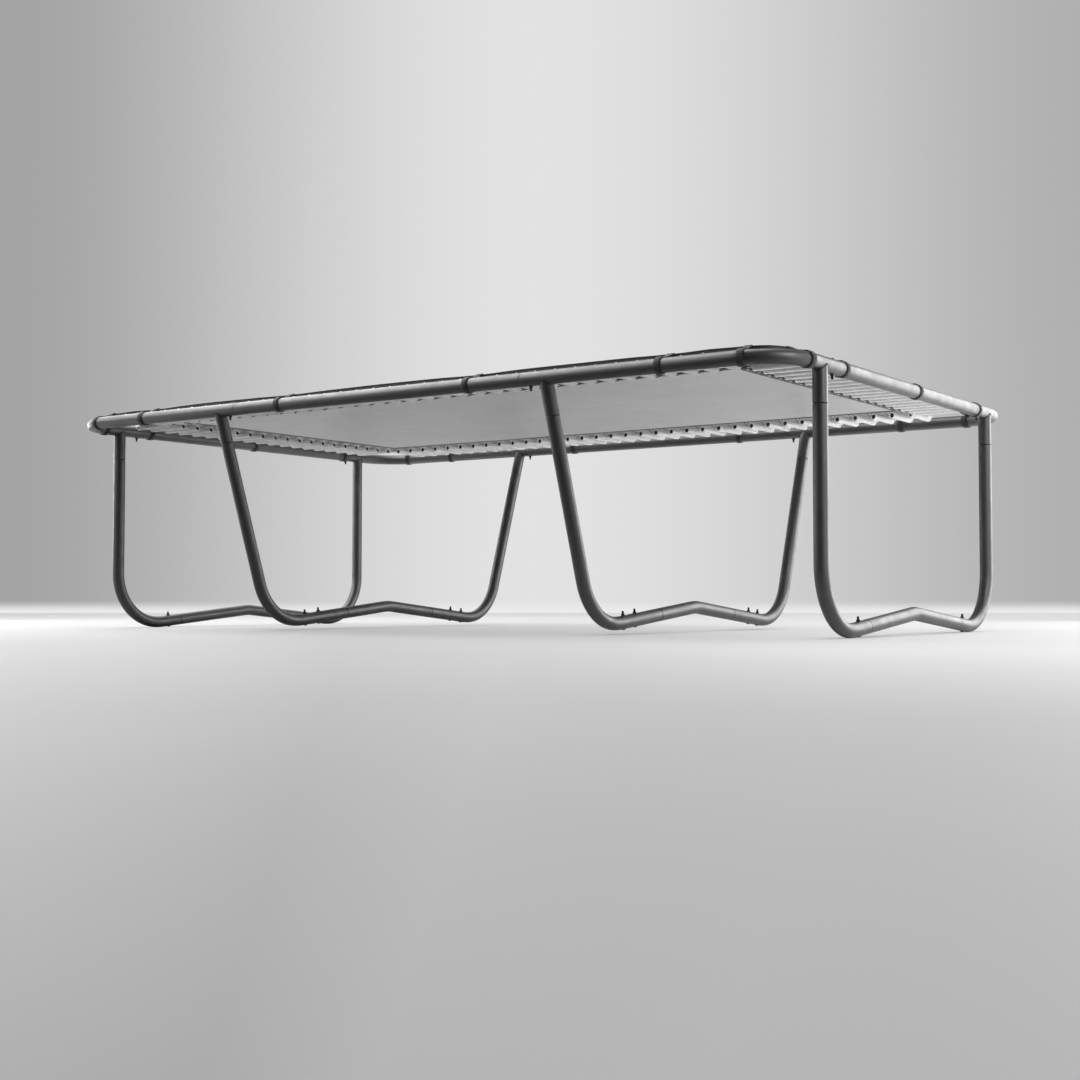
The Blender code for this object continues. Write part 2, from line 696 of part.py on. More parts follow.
def make_pad(name, frame, reach, places, cover):
    """One padded section with mitred ends and its straps sewn on."""
    bm = bmesh.new()
    rings = []
    for outer, inner in pad_lines(reach):
        rings.append([bm.verts.new(frame @ spot) for spot in pad_section(outer, inner)])
    for low, high in zip(rings, rings[1:]):
        skin(bm, low, high)
    bm.faces.new(rings[0])
    bm.faces.new(rings[-1])
    pad = make_object(name, bm, cover, frame.translation)
    straps = bmesh.new()
    for strap in strap_frames(frame, reach, places):
        add_strap(straps, strap)
    boolean(pad, straps, "UNION", "straps")


def strap_path():
    """Middle line of a strap: out of the pad, over the rail and once round it."""
    middle = TUBE_RADIUS + JOINT_GAP + STRAP_THICKNESS / 2
    radius = middle / math.cos(math.pi / STRAP_SIDES)
    rise = PAD_RISE - JOINT_GAP - STRAP_THICKNESS / 2
    sewn = PAD_OUTER_INSET + STRAP_TAIL
    path = [Vector((0, sewn, PAD_RISE + STRAP_SEWN)), Vector((0, sewn, rise)),
            Vector((0, 0, rise))]
    for step in range(1, STRAP_SIDES):
        angle = 2 * math.pi * step / STRAP_SIDES
        path.append(Vector((0, -radius * math.sin(angle), radius * math.cos(angle))))
    return path


def add_strap(bm, frame):
    """One strap, a flat band swept along its path."""
    path = strap_path()
    rings = []
    for index, spot in enumerate(path):
        direction, turn = heading(path, index)
        lift = X_AXIS.cross(direction) * (STRAP_THICKNESS / 2 / math.cos(turn / 2))
        side = X_AXIS * (STRAP_WIDTH / 2)
        corners = (spot + side + lift, spot - side + lift, spot - side - lift,
                   spot + side - lift)
        rings.append([bm.verts.new(frame @ corner) for corner in corners])
    for low, high in zip(rings, rings[1:]):
        skin(bm, low, high)
    bm.faces.new(rings[0])
    bm.faces.new(rings[-1])


def strap_frames(frame, reach, places):
    """Frames of the straps on one side. A long side has two more, on the first straight
    step of each bend."""
    frames = [frame @ Matrix.Translation((place, 0, 0)) for place in places]
    if reach == RAIL_X:
        half_step = math.pi / 4 / CORNER_STEPS
        chord = Matrix.Translation((0, -CORNER_RADIUS * math.cos(half_step), 0))
        for end in (-1, 1):
            centre = Matrix.Translation((end * (reach - CORNER_RADIUS), CORNER_RADIUS, 0))
            turn = Matrix.Rotation(end * half_step, 4, "Z")
            frames.append(frame @ centre @ turn @ chord)
    return frames


def build():
    """Make the whole trampoline."""
    for old in list(bpy.data.objects):
        bpy.data.objects.remove(old)
    steel = material("Powder_Coat", (0.050, 0.052, 0.055), 0.38, 0.2)
    dark_steel = material("Dark_Bolt", (0.030, 0.030, 0.032), 0.35, 0.8)
    woven = material("Woven_Mat", (0.36, 0.36, 0.37), 0.75)
    webbing = material("Webbing", (0.030, 0.030, 0.032), 0.85)
    cover = material("Pad_Cover", (0.025, 0.025, 0.027), 0.55)

    for corner, sx, sy in CORNERS:
        make_corner_tube("corner_tube_" + corner, sx, sy, steel)
        for what, kind in (("end", END_SET), ("middle", MIDDLE_SET)):
            make_leg(what + "_leg_" + corner, kind, sx, sy, steel)
            for number, frame in enumerate(kind.bolt_frames(sx, sy), 1):
                name = "{}_foot_bolt_{}_{}".format(what, corner, number)
                make_bolt(name, frame, dark_steel)
        for number, frame in enumerate(rail_bolt_frames(sx, sy), 1):
            make_bolt("rail_bolt_{}_{}".format(corner, number), frame, dark_steel)
    for side, frame, reach, places in SIDES:
        make_plain_rail("rail_" + side, frame, reach, steel)
        make_pad("pad_" + side, frame, reach, places, cover)
    for side, sx in (("left", -1), ("right", 1)):
        make_spreader("end_spreader_" + side, END_SET, sx, steel)
        make_spreader("middle_spreader_" + side, MIDDLE_SET, sx, steel)
    make_mat(woven)
    make_webbing(webbing)


build()
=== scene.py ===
import json
import math

import bpy
import numpy as np
from mathutils import Matrix, Vector, noise

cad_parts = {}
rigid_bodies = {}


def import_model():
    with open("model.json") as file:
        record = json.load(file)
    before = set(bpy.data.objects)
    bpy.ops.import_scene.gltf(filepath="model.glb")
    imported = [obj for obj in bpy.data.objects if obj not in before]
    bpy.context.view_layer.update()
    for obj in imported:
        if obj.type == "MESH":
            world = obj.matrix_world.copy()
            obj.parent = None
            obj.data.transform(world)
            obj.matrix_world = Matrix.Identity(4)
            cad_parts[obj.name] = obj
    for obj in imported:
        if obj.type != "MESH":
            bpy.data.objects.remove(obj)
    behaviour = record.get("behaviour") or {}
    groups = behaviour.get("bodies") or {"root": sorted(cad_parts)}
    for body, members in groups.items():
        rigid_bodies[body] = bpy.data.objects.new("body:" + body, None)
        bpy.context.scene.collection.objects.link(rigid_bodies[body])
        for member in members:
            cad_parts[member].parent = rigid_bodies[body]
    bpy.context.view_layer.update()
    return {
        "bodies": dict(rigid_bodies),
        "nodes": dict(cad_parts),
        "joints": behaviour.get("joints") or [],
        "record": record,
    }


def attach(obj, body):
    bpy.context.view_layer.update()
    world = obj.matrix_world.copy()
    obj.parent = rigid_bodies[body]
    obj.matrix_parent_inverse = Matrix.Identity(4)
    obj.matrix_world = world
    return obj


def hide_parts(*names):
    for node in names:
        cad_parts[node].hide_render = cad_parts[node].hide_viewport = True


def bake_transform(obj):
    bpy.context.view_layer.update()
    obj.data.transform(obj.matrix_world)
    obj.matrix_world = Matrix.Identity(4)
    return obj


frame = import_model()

# The photo's camera
CAMERA_PLACE = (4.4666, -6.3009, 0.1547)
CAMERA_LENS = 50.29
VIEW_YAW = 0.61038
VIEW_PITCH = 0.03910

# Sizes of the trampoline, the same as in its CAD source, in metres
RAIL_X = 2.040
RAIL_Y = 1.2438
RAIL_HEIGHT = 1.0624
CORNER_RADIUS = 0.220
TUBE_RADIUS = 0.030
LONG_SEAM = 0.840
SHORT_SEAM = 0.765
STUB_LENGTH = 0.156
LEG_BEND = 0.265
FOOT_FLAT = 0.030
SPREADER_BEND = 0.300
HEAD_DIAMETER = 0.017
HEAD_HEIGHT = 0.0042
NUT_WIDTH = 0.0145
NUT_HEIGHT = 0.0070
BOLT_DIAMETER = 0.008
LONG_BOLT = 0.884
SHORT_BOLT = 0.840
SPRING_PITCH = 0.0985
LONG_SPRINGS = 35
SHORT_SPRINGS = 19
SPRING_RISE = 0.018
SPRING_WIRE = 0.0046
COIL_DIAMETER = 0.031
COIL_START = 0.056
RING_SEWN = 0.008
MAT_INSET = 0.373
MAT_RISE = 0.030
WEBBING_WIDTH = 0.045
WEBBING_THICKNESS = 0.0070
PAD_OUTER_INSET = 0.080
PAD_INNER_INSET = 0.405
PAD_RISE = 0.040
PAD_THICKNESS = 0.022
PAD_MITRE_GAP = 0.001

# Sizes as the photo shows them, a little different from the CAD source or not in it
RAIL_GAP = 0.0003
LEG_GAP = 0.0022
LIP = 0.0016
BOLT_TAIL = 0.0195
TAIL_DIAMETER = 0.0105
COIL_END = 0.322
RING_INSET = 0.3424
RING_RISE = 0.0150
RING_TIP_WIDTH = 0.011
RING_BASE_WIDTH = 0.024
RING_WIRE = 0.75 * SPRING_WIRE
STRAP_WIDTH = 0.029
STRAP_THICKNESS = 0.0034
LONG_STRAPS = (-1.854, -1.503, -0.556, 0.556, 1.503, 1.854)
SHORT_STRAPS = (-1.056, -0.747, 0.0400, 0.8148)

X_AXIS = Vector((1, 0, 0))
Y_AXIS = Vector((0, 1, 0))
Z_AXIS = Vector((0, 0, 1))
VIEW_RIGHT = Vector((math.cos(VIEW_YAW), math.sin(VIEW_YAW), 0))
VIEW_AHEAD = Vector((-math.sin(VIEW_YAW), math.cos(VIEW_YAW), 0))
CORNERS = (
    ("front_left", -1, -1),
    ("front_right", 1, -1),
    ("back_left", -1, 1),
    ("back_right", 1, 1),
)


# Materials

def grey(value, blue=0.0):
    """A grey colour, its blue a little different where given."""
    return value, value, value + blue


class Nodes:
    """The node tree of a material or world and short ways to add nodes to it."""

    def __init__(self, owner):
        owner.use_nodes = True
        self.tree = owner.node_tree

    def join(self, value, socket):
        """Links an output to the socket, or sets the socket to a value."""
        if isinstance(value, bpy.types.NodeSocket):
            self.tree.links.new(value, socket)
        else:
            socket.default_value = value

    def node(self, kind, inputs, **settings):
        made = self.tree.nodes.new(kind)
        for key, value in settings.items():
            setattr(made, key, value)
        for key, value in inputs.items():
            self.join(value, made.inputs[key])
        return made

    def math(self, operation, first, second=0.0, third=0.0):
        return self.node("ShaderNodeMath", {0: first, 1: second, 2: third},
                         operation=operation).outputs[0]

    def dot(self, vector, fixed):
        return self.node("ShaderNodeVectorMath", {0: vector, 1: tuple(fixed)},
                         operation="DOT_PRODUCT").outputs["Value"]

    def level(self, factor, low, high, out_low, out_high, **settings):
        """Goes from out_low to out_high as the factor goes from low to high."""
        return self.node("ShaderNodeMapRange", {
            "Value": factor, "From Min": low, "From Max": high, "To Min": out_low,
            "To Max": out_high}, **settings).outputs["Result"]

    def mix(self, factor, first, second):
        """Colour between two colours, each an output or (red, green, blue)."""
        first, second = ((*colour, 1.0) if isinstance(colour, tuple) else colour
                         for colour in (first, second))
        return self.node("ShaderNodeMix", {0: factor, 6: first, 7: second},
                         data_type="RGBA").outputs[2]

    def glow(self, factor, stops, interpolation):
        """Grey along a factor, from (position, level) pairs that go from 0 to 1."""
        made = self.node("ShaderNodeValToRGB", {0: factor})
        made.color_ramp.interpolation = interpolation
        elements = made.color_ramp.elements
        for stop, (position, value) in zip((elements[0], elements[1]), (stops[0], stops[-1])):
            stop.position, stop.color = position, (*grey(value), 1.0)
        for position, value in stops[1:-1]:
            elements.new(position).color = (*grey(value), 1.0)
        return made.outputs[0]

    def rays(self):
        return self.node("ShaderNodeLightPath", {}).outputs

    def surface(self, factor, first, second, output):
        """Sends a mix of two shaders to the output node."""
        both = self.node("ShaderNodeMixShader", {
            0: factor, 1: first.outputs[0], 2: second.outputs[0]})
        self.tree.links.new(both.outputs[0], self.tree.nodes[output].inputs["Surface"])


class Finish(Nodes):
    """A Principled material. Lengths in it are in metres on the object."""

    def __init__(self, name, colour, roughness, metallic=0.0):
        self.material = bpy.data.materials.new(name)
        super().__init__(self.material)
        self.shader = self.tree.nodes["Principled BSDF"]
        self.set("Base Color", (*colour, 1.0))
        self.set("Roughness", roughness)
        self.set("Metallic", metallic)
        self.place = self.node("ShaderNodeTexCoord", {}).outputs["Object"]
        self.material.diffuse_color = (*colour, 1.0)

    def set(self, socket, value):
        self.join(value, self.shader.inputs[socket])

    def noise(self, scale, detail, vector=None):
        return self.node("ShaderNodeTexNoise", {
            "Vector": vector or self.place, "Scale": scale, "Detail": detail}).outputs["Fac"]

    def drift(self, scale, detail, out_low, out_high):
        """Values that drift between two levels."""
        return self.level(self.noise(scale, detail), 0.3, 0.7, out_low, out_high)

    def ramp(self, factor, low, high, dark, light):
        """Colour between two colours as the factor goes from low to high."""
        return self.mix(self.level(factor, low, high, 0.0, 1.0), dark, light)

    def mottle(self, scale, detail, dark, light, low=0.3, high=0.7):
        """Colour that drifts between two colours."""
        return self.ramp(self.noise(scale, detail), low, high, dark, light)

    def bump(self, height, distance, strength):
        self.set("Normal", self.node("ShaderNodeBump", {
            "Height": height, "Distance": distance, "Strength": strength}).outputs["Normal"])

    def axes(self):
        parts = self.node("ShaderNodeSeparateXYZ", {0: self.place}).outputs
        return parts["X"], parts["Y"], parts["Z"]

    def upward(self):
        """1 on faces that look up and 0 on faces that look down."""
        normal = self.node("ShaderNodeNewGeometry", {}).outputs["True Normal"]
        height = self.node("ShaderNodeSeparateXYZ", {0: normal}).outputs["Z"]
        return self.level(height, -0.55, -0.35, 0.0, 1.0)

    def weave(self, warp, weft, thread):
        """Height of a plain weave of the given thread spacing along two coordinates."""
        turn = math.pi / thread
        over = self.math("SINE", self.math("MULTIPLY", warp, turn))
        under = self.math("SINE", self.math("MULTIPLY", weft, turn))
        lines = self.math("MULTIPLY", over, under)
        return self.math("MULTIPLY_ADD", lines, 0.6, self.math("ABSOLUTE", over))


def powder_coat():
    """Satin dark grey coat with a fine orange peel and a little dust."""
    made = Finish("Powder_Coat_Finish", grey(0.021, 0.0005), 0.48)
    coat = made.mottle(2.5, 3.0, grey(0.011, 0.0005), grey(0.017, 0.0005))
    dust = made.level(made.noise(420.0, 2.0), 0.60, 0.72, 0.0, 0.30)
    made.set("Base Color", made.mix(dust, coat, grey(0.045)))
    made.set("Roughness", made.drift(18.0, 4.0, 0.40, 0.52))
    made.set("Specular IOR Level", 1.0)
    made.bump(made.noise(650.0, 2.0), 0.00035, 0.35)
    return made.material


def zinc():
    """Bright zinc-plated wire with faint drawing marks."""
    made = Finish("Zinc_Finish", grey(0.90, -0.01), 0.36, 0.15)
    made.set("Base Color", made.mottle(60.0, 3.0, grey(0.85, -0.005), grey(0.96, -0.005), 0.35))
    made.set("Roughness", made.drift(240.0, 3.0, 0.22, 0.42))
    made.bump(made.noise(900.0, 2.0), 0.0002, 0.3)
    return made.material


def dark_bolt():
    """Black-oxide steel, a little rubbed on its edges."""
    made = Finish("Dark_Bolt_Finish", grey(0.015, 0.001), 0.42, 0.45)
    rub = made.level(made.noise(300.0, 4.0), 0.58, 0.72, 0.0, 0.5)
    made.set("Base Color", made.mix(rub, grey(0.012, 0.001), grey(0.07)))
    made.set("Roughness", made.drift(120.0, 3.0, 0.30, 0.50))
    made.bump(made.noise(800.0, 2.0), 0.0002, 0.4)
    return made.material


def painted_coil_shade():
    """Painted shade: a dark core in a close coil, standing for the shade within the coil."""
    made = Finish("Coil_Painted_Shade_Finish", grey(0.012), 0.7)
    made.set("Base Color", made.mottle(200.0, 3.0, grey(0.008), grey(0.020)))
    made.bump(made.noise(500.0, 2.0), 0.0002, 0.3)
    return made.material


def weld():
    """Rippled weld metal under a thin coat, painted dark as the shade in the joint of stub and
    rail.
    """
    made = Finish("Weld_Painted_Shade_Finish", grey(0.010), 0.6)
    made.set("Base Color", made.mottle(350.0, 3.0, grey(0.006), grey(0.016)))
    made.bump(made.noise(600.0, 3.0), 0.0004, 0.5)
    return made.material


def woven_mat():
    """Woven charcoal mat; its underside is pale grey, painted sheen for how the dark cloth
    shines from below.
    """
    made = Finish("Woven_Mat_Finish", grey(0.40, 0.01), 0.62)
    x, y, _ = made.axes()
    cloth = made.weave(x, y, 0.0024)
    # Painted sheen: the pale grey on faces that look down stands for the shine of the dark
    # cloth
    painted_sheen_tint = made.mottle(1.1, 3.0, (0.48, 0.482, 0.49), (0.53, 0.532, 0.54))
    drawn_out = made.node("ShaderNodeMapping", {
        "Vector": made.place, "Scale": (3.0, 260.0, 1.0)}).outputs[0]
    streak = made.level(made.noise(1.0, 2.0, drawn_out), 0.35, 0.65, 0.0, 0.22)
    below = made.mix(streak, painted_sheen_tint, (0.33, 0.332, 0.34))
    above = made.ramp(cloth, -0.4, 1.4, grey(0.020, 0.001), grey(0.060, 0.002))
    top = made.upward()
    made.set("Base Color", made.mix(top, below, above))
    duller_top = made.math("MULTIPLY_ADD", top, 0.32, made.drift(6.0, 3.0, 0.30, 0.40))
    made.set("Roughness", duller_top)
    made.bump(cloth, 0.0003, 0.25)
    return made.material


def webbing(name, colour, thread_colour):
    """Woven band with two rows of lock stitches. U runs along it in metres and V is the
    share of its width."""
    made = Finish(name, colour, 0.78)
    flat = made.node("ShaderNodeTexCoord", {}).outputs["UV"]
    parts = made.node("ShaderNodeSeparateXYZ", {0: flat}).outputs
    along, across = parts["X"], parts["Y"]
    cloth = made.weave(along, across, 0.0016)
    base = made.ramp(cloth, -0.4, 1.4, tuple(0.55 * part for part in colour),
                     tuple(1.6 * part for part in colour))
    stitch_length = 0.009
    dash = made.math("SINE", made.math("MULTIPLY", along, 2 * math.pi / stitch_length))
    dash = made.level(dash, -0.25, 0.0, 0.0, 1.0)
    rows = []
    for row in (0.22, 0.78):
        near = made.math("ABSOLUTE", made.math("SUBTRACT", across, row))
        rows.append(made.level(near, 0.030, 0.045, 1.0, 0.0))
    stitch = made.math("MULTIPLY", dash, made.math("MAXIMUM", *rows))
    made.set("Base Color", made.mix(stitch, base, thread_colour))
    made.bump(made.math("MULTIPLY_ADD", stitch, 2.5, cloth), 0.0004, 0.6)
    made.set("Sheen Weight", 0.2)
    return made.material


def pad_cover():
    """Coated cloth: black and grained on top, pale woven backing underneath."""
    made = Finish("Pad_Cover_Finish", grey(0.03, 0.002), 0.50)
    x, y, _ = made.axes()
    cells = made.node("ShaderNodeTexVoronoi", {"Vector": made.place, "Scale": 520.0}).outputs[0]
    grain = made.math("MULTIPLY_ADD", made.noise(900.0, 2.0), 0.5, cells)
    backing = made.weave(x, y, 0.0020)
    above = made.mottle(3.0, 5.0, grey(0.020, 0.002), grey(0.043, 0.002), 0.35, 0.75)
    below = made.mottle(5.0, 4.0, grey(0.40), grey(0.50))
    top = made.upward()
    made.set("Base Color", made.mix(top, below, above))
    made.set("Roughness", made.drift(40.0, 4.0, 0.48, 0.66))
    height = made.node("ShaderNodeMix", {0: top, 2: backing, 3: grain}).outputs[0]
    made.bump(height, 0.0004, 0.5)
    return made.material


def piping():
    """Black coated edge binding."""
    made = Finish("Pad_Binding_Finish", grey(0.018, 0.001), 0.45)
    made.set("Base Color", made.mottle(150.0, 4.0, grey(0.013, 0.001), grey(0.030, 0.001)))
    made.bump(made.noise(700.0, 3.0), 0.0003, 0.5)
    return made.material


STEEL = powder_coat()
ZINC = zinc()
BOLT = dark_bolt()
PAINTED_COIL_SHADE = painted_coil_shade()
WELD_SHADE = weld()
MAT_CLOTH = woven_mat()
EDGE_BAND = webbing("Webbing_Finish", grey(0.030, 0.002), grey(0.11, 0.005))
STRAP_BAND = webbing("Strap_Finish", grey(0.011, 0.001), grey(0.03, 0.001))
COVER = pad_cover()
BINDING = piping()


# Meshes

def joined(rings, closed=False):
    """Faces between rings of the same count. Closed joins the last ring to the first,
    and otherwise a face closes each end."""
    count = len(rings[0])
    faces = []
    for row in range(len(rings) if closed else len(rings) - 1):
        start, after = row * count, (row + 1) % len(rings) * count
        for index in range(count):
            beside = (index + 1) % count
            faces.append((start + index, start + beside, after + beside, after + index))
    if not closed:
        last = (len(rings) - 1) * count
        faces.append(tuple(range(count))[::-1])
        faces.append(tuple(range(last, last + count)))
    return faces


def two_layers(lines, wide, along_first):
    """Faces of an upper and a lower grid of points and of the rim between them, and the
    indices round the upper rim. The grids' lines run one way round if along_first and
    the other way if not."""
    size = lines * wide
    upper, lower = (0, wide, wide + 1, 1), (0, 1, wide + 1, wide)
    rim = [line * wide for line in range(lines)]
    rim += [(lines - 1) * wide + row for row in range(1, wide)]
    rim += [line * wide + wide - 1 for line in range(lines - 2, -1, -1)]
    rim += list(range(wide - 2, 0, -1))
    if not along_first:
        upper, lower = lower, upper
        rim = rim[:1] + rim[:0:-1]
    faces = []
    for line in range(lines - 1):
        for start in range(line * wide, line * wide + wide - 1):
            faces.append([start + step for step in upper])
            faces.append([size + start + step for step in lower])
    for here, after in zip(rim, rim[1:] + rim[:1]):
        faces.append((here, here + size, after + size, after))
    return faces, rim


class Shape:
    """Points and faces that become one object."""

    def __init__(self):
        self.points = []
        self.faces = []
        self.uvs = []

    def count(self):
        return sum(len(part) for part in self.points)

    def add(self, points, faces, uvs=None):
        start = self.count()
        self.points.append(np.array([tuple(point) for point in points], float))
        self.faces += [[start + index for index in face] for face in faces]
        if uvs is not None:
            self.uvs.append(np.array(uvs, float))

    def add_rings(self, rings, closed=False, uvs=None):
        self.add([point for ring in rings for point in ring], joined(rings, closed), uvs)

    def made(self, name, surface, sharp=40):
        mesh = bpy.data.meshes.new(name)
        points = np.concatenate(self.points)
        mesh.from_pydata([tuple(point) for point in points], [], self.faces)
        if self.uvs:
            values = np.concatenate(self.uvs)
            layer = mesh.uv_layers.new(name="cloth")
            corner = np.zeros(len(mesh.loops), np.int64)
            mesh.loops.foreach_get("vertex_index", corner)
            layer.data.foreach_set("uv", values[corner].astype(np.float32).ravel())
        mesh.shade_smooth()
        mesh.set_sharp_from_angle(angle=math.radians(sharp))
        mesh.materials.append(surface)
        thing = bpy.data.objects.new(name, mesh)
        bpy.context.scene.collection.objects.link(thing)
        return thing


def directions(path, closed=False):
    """Unit directions along a path of points."""
    path = np.asarray(path, float)
    if closed:
        ahead = np.roll(path, -1, 0) - np.roll(path, 1, 0)
    else:
        ahead = np.gradient(path, axis=0)
    return ahead / np.linalg.norm(ahead, axis=1)[:, None]


def round_bar(shape, path, radius, sides, closed=False, end_round=0.0):
    """A round bar along a path. Its ring frames turn as little as they can."""
    path = np.array([tuple(point) for point in path], float)
    ways = directions(path, closed)
    radii = np.full(len(path), radius) if np.isscalar(radius) else np.asarray(radius, float)
    if end_round:
        first = path[0] + ways[0] * end_round
        last = path[-1] - ways[-1] * end_round
        path = np.concatenate([[path[0], first], path[1:-1], [last, path[-1]]])
        ways = np.concatenate([[ways[0]], ways, [ways[-1]]])
        radii = np.concatenate([[radii[0] - end_round], radii, [radii[-1] - end_round]])
    helper = np.array((1.0, 0, 0)) if abs(ways[0][0]) < 0.9 else np.array((0, 0, 1.0))
    normal = np.cross(ways[0], helper)
    normal /= np.linalg.norm(normal)
    normals = []
    for way in ways:
        normal = normal - way * np.dot(normal, way)
        normal /= np.linalg.norm(normal)
        normals.append(normal)
    normals = np.array(normals)
    if closed:
        wanted = normals[0]
        side = np.cross(ways[0], normals[-1])
        twist = math.atan2(np.dot(wanted, side), np.dot(wanted, normals[-1]))
        for index in range(len(path)):
            turn = twist * index / len(path)
            here = normals[index]
            normals[index] = (here * math.cos(turn)
                              + np.cross(ways[index], here) * math.sin(turn))
    others = np.cross(ways, normals)
    angles = np.arange(sides) * 2 * math.pi / sides
    rings = (path[:, None, :]
             + normals[:, None, :] * (np.cos(angles)[None, :, None] * radii[:, None, None])
             + others[:, None, :] * (np.sin(angles)[None, :, None] * radii[:, None, None]))
    shape.add_rings(rings, closed)


def arc(centre, start, end, radius, steps):
    """Points on an arc from the direction start to the direction end."""
    turn = start.angle(end)
    side = (end - start * end.dot(start)).normalized()
    return [centre + (start * math.cos(turn * step / steps)
                      + side * math.sin(turn * step / steps)) * radius
            for step in range(steps + 1)]


def rounded(corners, radius, steps):
    """A path with its corners rounded. The radius is less where a stretch is short."""
    corners = [Vector(corner) for corner in corners]
    path = [corners[0]]
    for before, here, after in zip(corners, corners[1:], corners[2:]):
        back, ahead = before - here, after - here
        reach = min(radius, back.length * 0.45, ahead.length * 0.45)
        first, last = here + back.normalized() * reach, here + ahead.normalized() * reach
        for step in range(steps + 1):
            share = step / steps
            path.append(first.lerp(here, share).lerp(here.lerp(last, share), share))
    path.append(corners[-1])
    return path


def revolved(shape, profile, sides, frame):
    """A closed turned body from (radius, height) pairs."""
    angles = np.arange(sides) * 2 * math.pi / sides
    shape.add_rings([
        [frame @ Vector((radius * math.cos(a), radius * math.sin(a), height)) for a in angles]
        for radius, height in profile])


def axes_frame(origin, up, along):
    """Matrix at origin with Z along up and X along the given direction."""
    side = up.cross(along).normalized()
    return Matrix.Translation(origin) @ Matrix((along, side, up)).transposed().to_4x4()


def side_frame(inward):
    """Matrix of the side that faces the mat along inward: X along the rail, Y inward."""
    middle = Vector((-inward.x * RAIL_X, -inward.y * RAIL_Y, RAIL_HEIGHT))
    return axes_frame(middle, Z_AXIS, inward.cross(Z_AXIS))


SIDES = (
    ("front", side_frame(Y_AXIS), LONG_SPRINGS, RAIL_X, LONG_STRAPS),
    ("back", side_frame(-Y_AXIS), LONG_SPRINGS, RAIL_X, LONG_STRAPS),
    ("left", side_frame(X_AXIS), SHORT_SPRINGS, RAIL_Y, [-place for place in SHORT_STRAPS]),
    ("right", side_frame(-X_AXIS), SHORT_SPRINGS, RAIL_Y, SHORT_STRAPS),
)


# Legs and spreaders

class LegSet:
    """The line that one kind of leg set follows, as (distance from the middle, height)."""

    def __init__(self, plane, top, lean, lift, peak, foot, bolts):
        self.plane = plane
        self.top = top
        self.down = (-math.sin(lean), -math.cos(lean))
        self.foot_height = lift + TUBE_RADIUS
        self.peak = peak
        rise = RAIL_HEIGHT - self.foot_height - LEG_BEND
        reach = (LEG_BEND + rise * math.sin(lean)) / math.cos(lean)
        self.bend_centre = (top - reach, self.foot_height + LEG_BEND)
        self.flat_end = self.bend_centre[0] - FOOT_FLAT
        self.slope = math.atan2(peak - self.foot_height, self.flat_end)
        self.seam = self.flat_end - foot
        self.bolts = [self.flat_end - along for along in bolts]

    def place(self, sx, sy, spot):
        return Vector((sx * self.plane, sy * spot[0], spot[1]))

    def on_leg(self, distance):
        return self.top + self.down[0] * distance, RAIL_HEIGHT + self.down[1] * distance

    def on_run(self, across):
        return across, self.foot_height + (self.flat_end - across) * math.tan(self.slope)

    def line(self):
        """Spots down the leg, round the bend and along the foot to its open end."""
        centre = Vector((*self.bend_centre, 0))
        outward = Vector((-self.down[1], self.down[0], 0))
        bend = arc(centre, outward, -Y_AXIS, LEG_BEND, 28)
        start = self.on_leg(STUB_LENGTH + LEG_GAP)
        spots = [start]
        for share in (0.25, 0.5, 0.75):
            spots.append((start[0] + (bend[0].x - start[0]) * share,
                          start[1] + (bend[0].y - start[1]) * share))
        spots += [(point.x, point.y) for point in bend]
        low = self.flat_end
        spots += [(low + FOOT_FLAT * 0.4, self.foot_height), self.on_run(low - 0.012)]
        spots.append(self.on_run(self.seam + LEG_GAP / 2))
        return spots

    def bolt_frames(self, sx, sy):
        below = Vector((0, -sy * math.sin(self.slope), -math.cos(self.slope)))
        return [axes_frame(self.place(sx, sy, self.on_run(across)), below, X_AXIS)
                for across in self.bolts]


END_SET = LegSet(plane=RAIL_X, top=0.953, lean=0.0, lift=0.0, peak=0.092, foot=0.128,
                 bolts=(0.055,))
MIDDLE_SET = LegSet(plane=0.958, top=RAIL_Y, lean=math.radians(18.3), lift=0.018,
                    peak=0.117, foot=0.336, bolts=(0.139, 0.041))
TUBE_SIDES = 40


def make_tube(name, path, node):
    shape = Shape()
    round_bar(shape, path, TUBE_RADIUS, TUBE_SIDES, end_round=LIP)
    thing = shape.made(name, STEEL)
    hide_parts(node)
    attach(thing, "frame")


def make_spreader(name, kind, sx, node):
    centre = kind.place(sx, 0, (0, kind.peak - SPREADER_BEND / math.cos(kind.slope)))
    start, end = (Vector((0, side * math.sin(kind.slope), math.cos(kind.slope)))
                  for side in (-1, 1))
    seam = kind.seam - LEG_GAP / 2
    path = [kind.place(sx, -1, kind.on_run(spot)) for spot in (seam, seam * 0.5)]
    path += arc(centre, start, end, SPREADER_BEND, 8)
    path += [kind.place(sx, 1, kind.on_run(spot)) for spot in (seam * 0.5, seam)]
    make_tube(name, path, node)


# Bolts

WASHER_THICKNESS = 0.0016
HEAD_EDGE = 0.0012
NUT_CHAMFER = 0.0009
THREAD_STEPS = 15


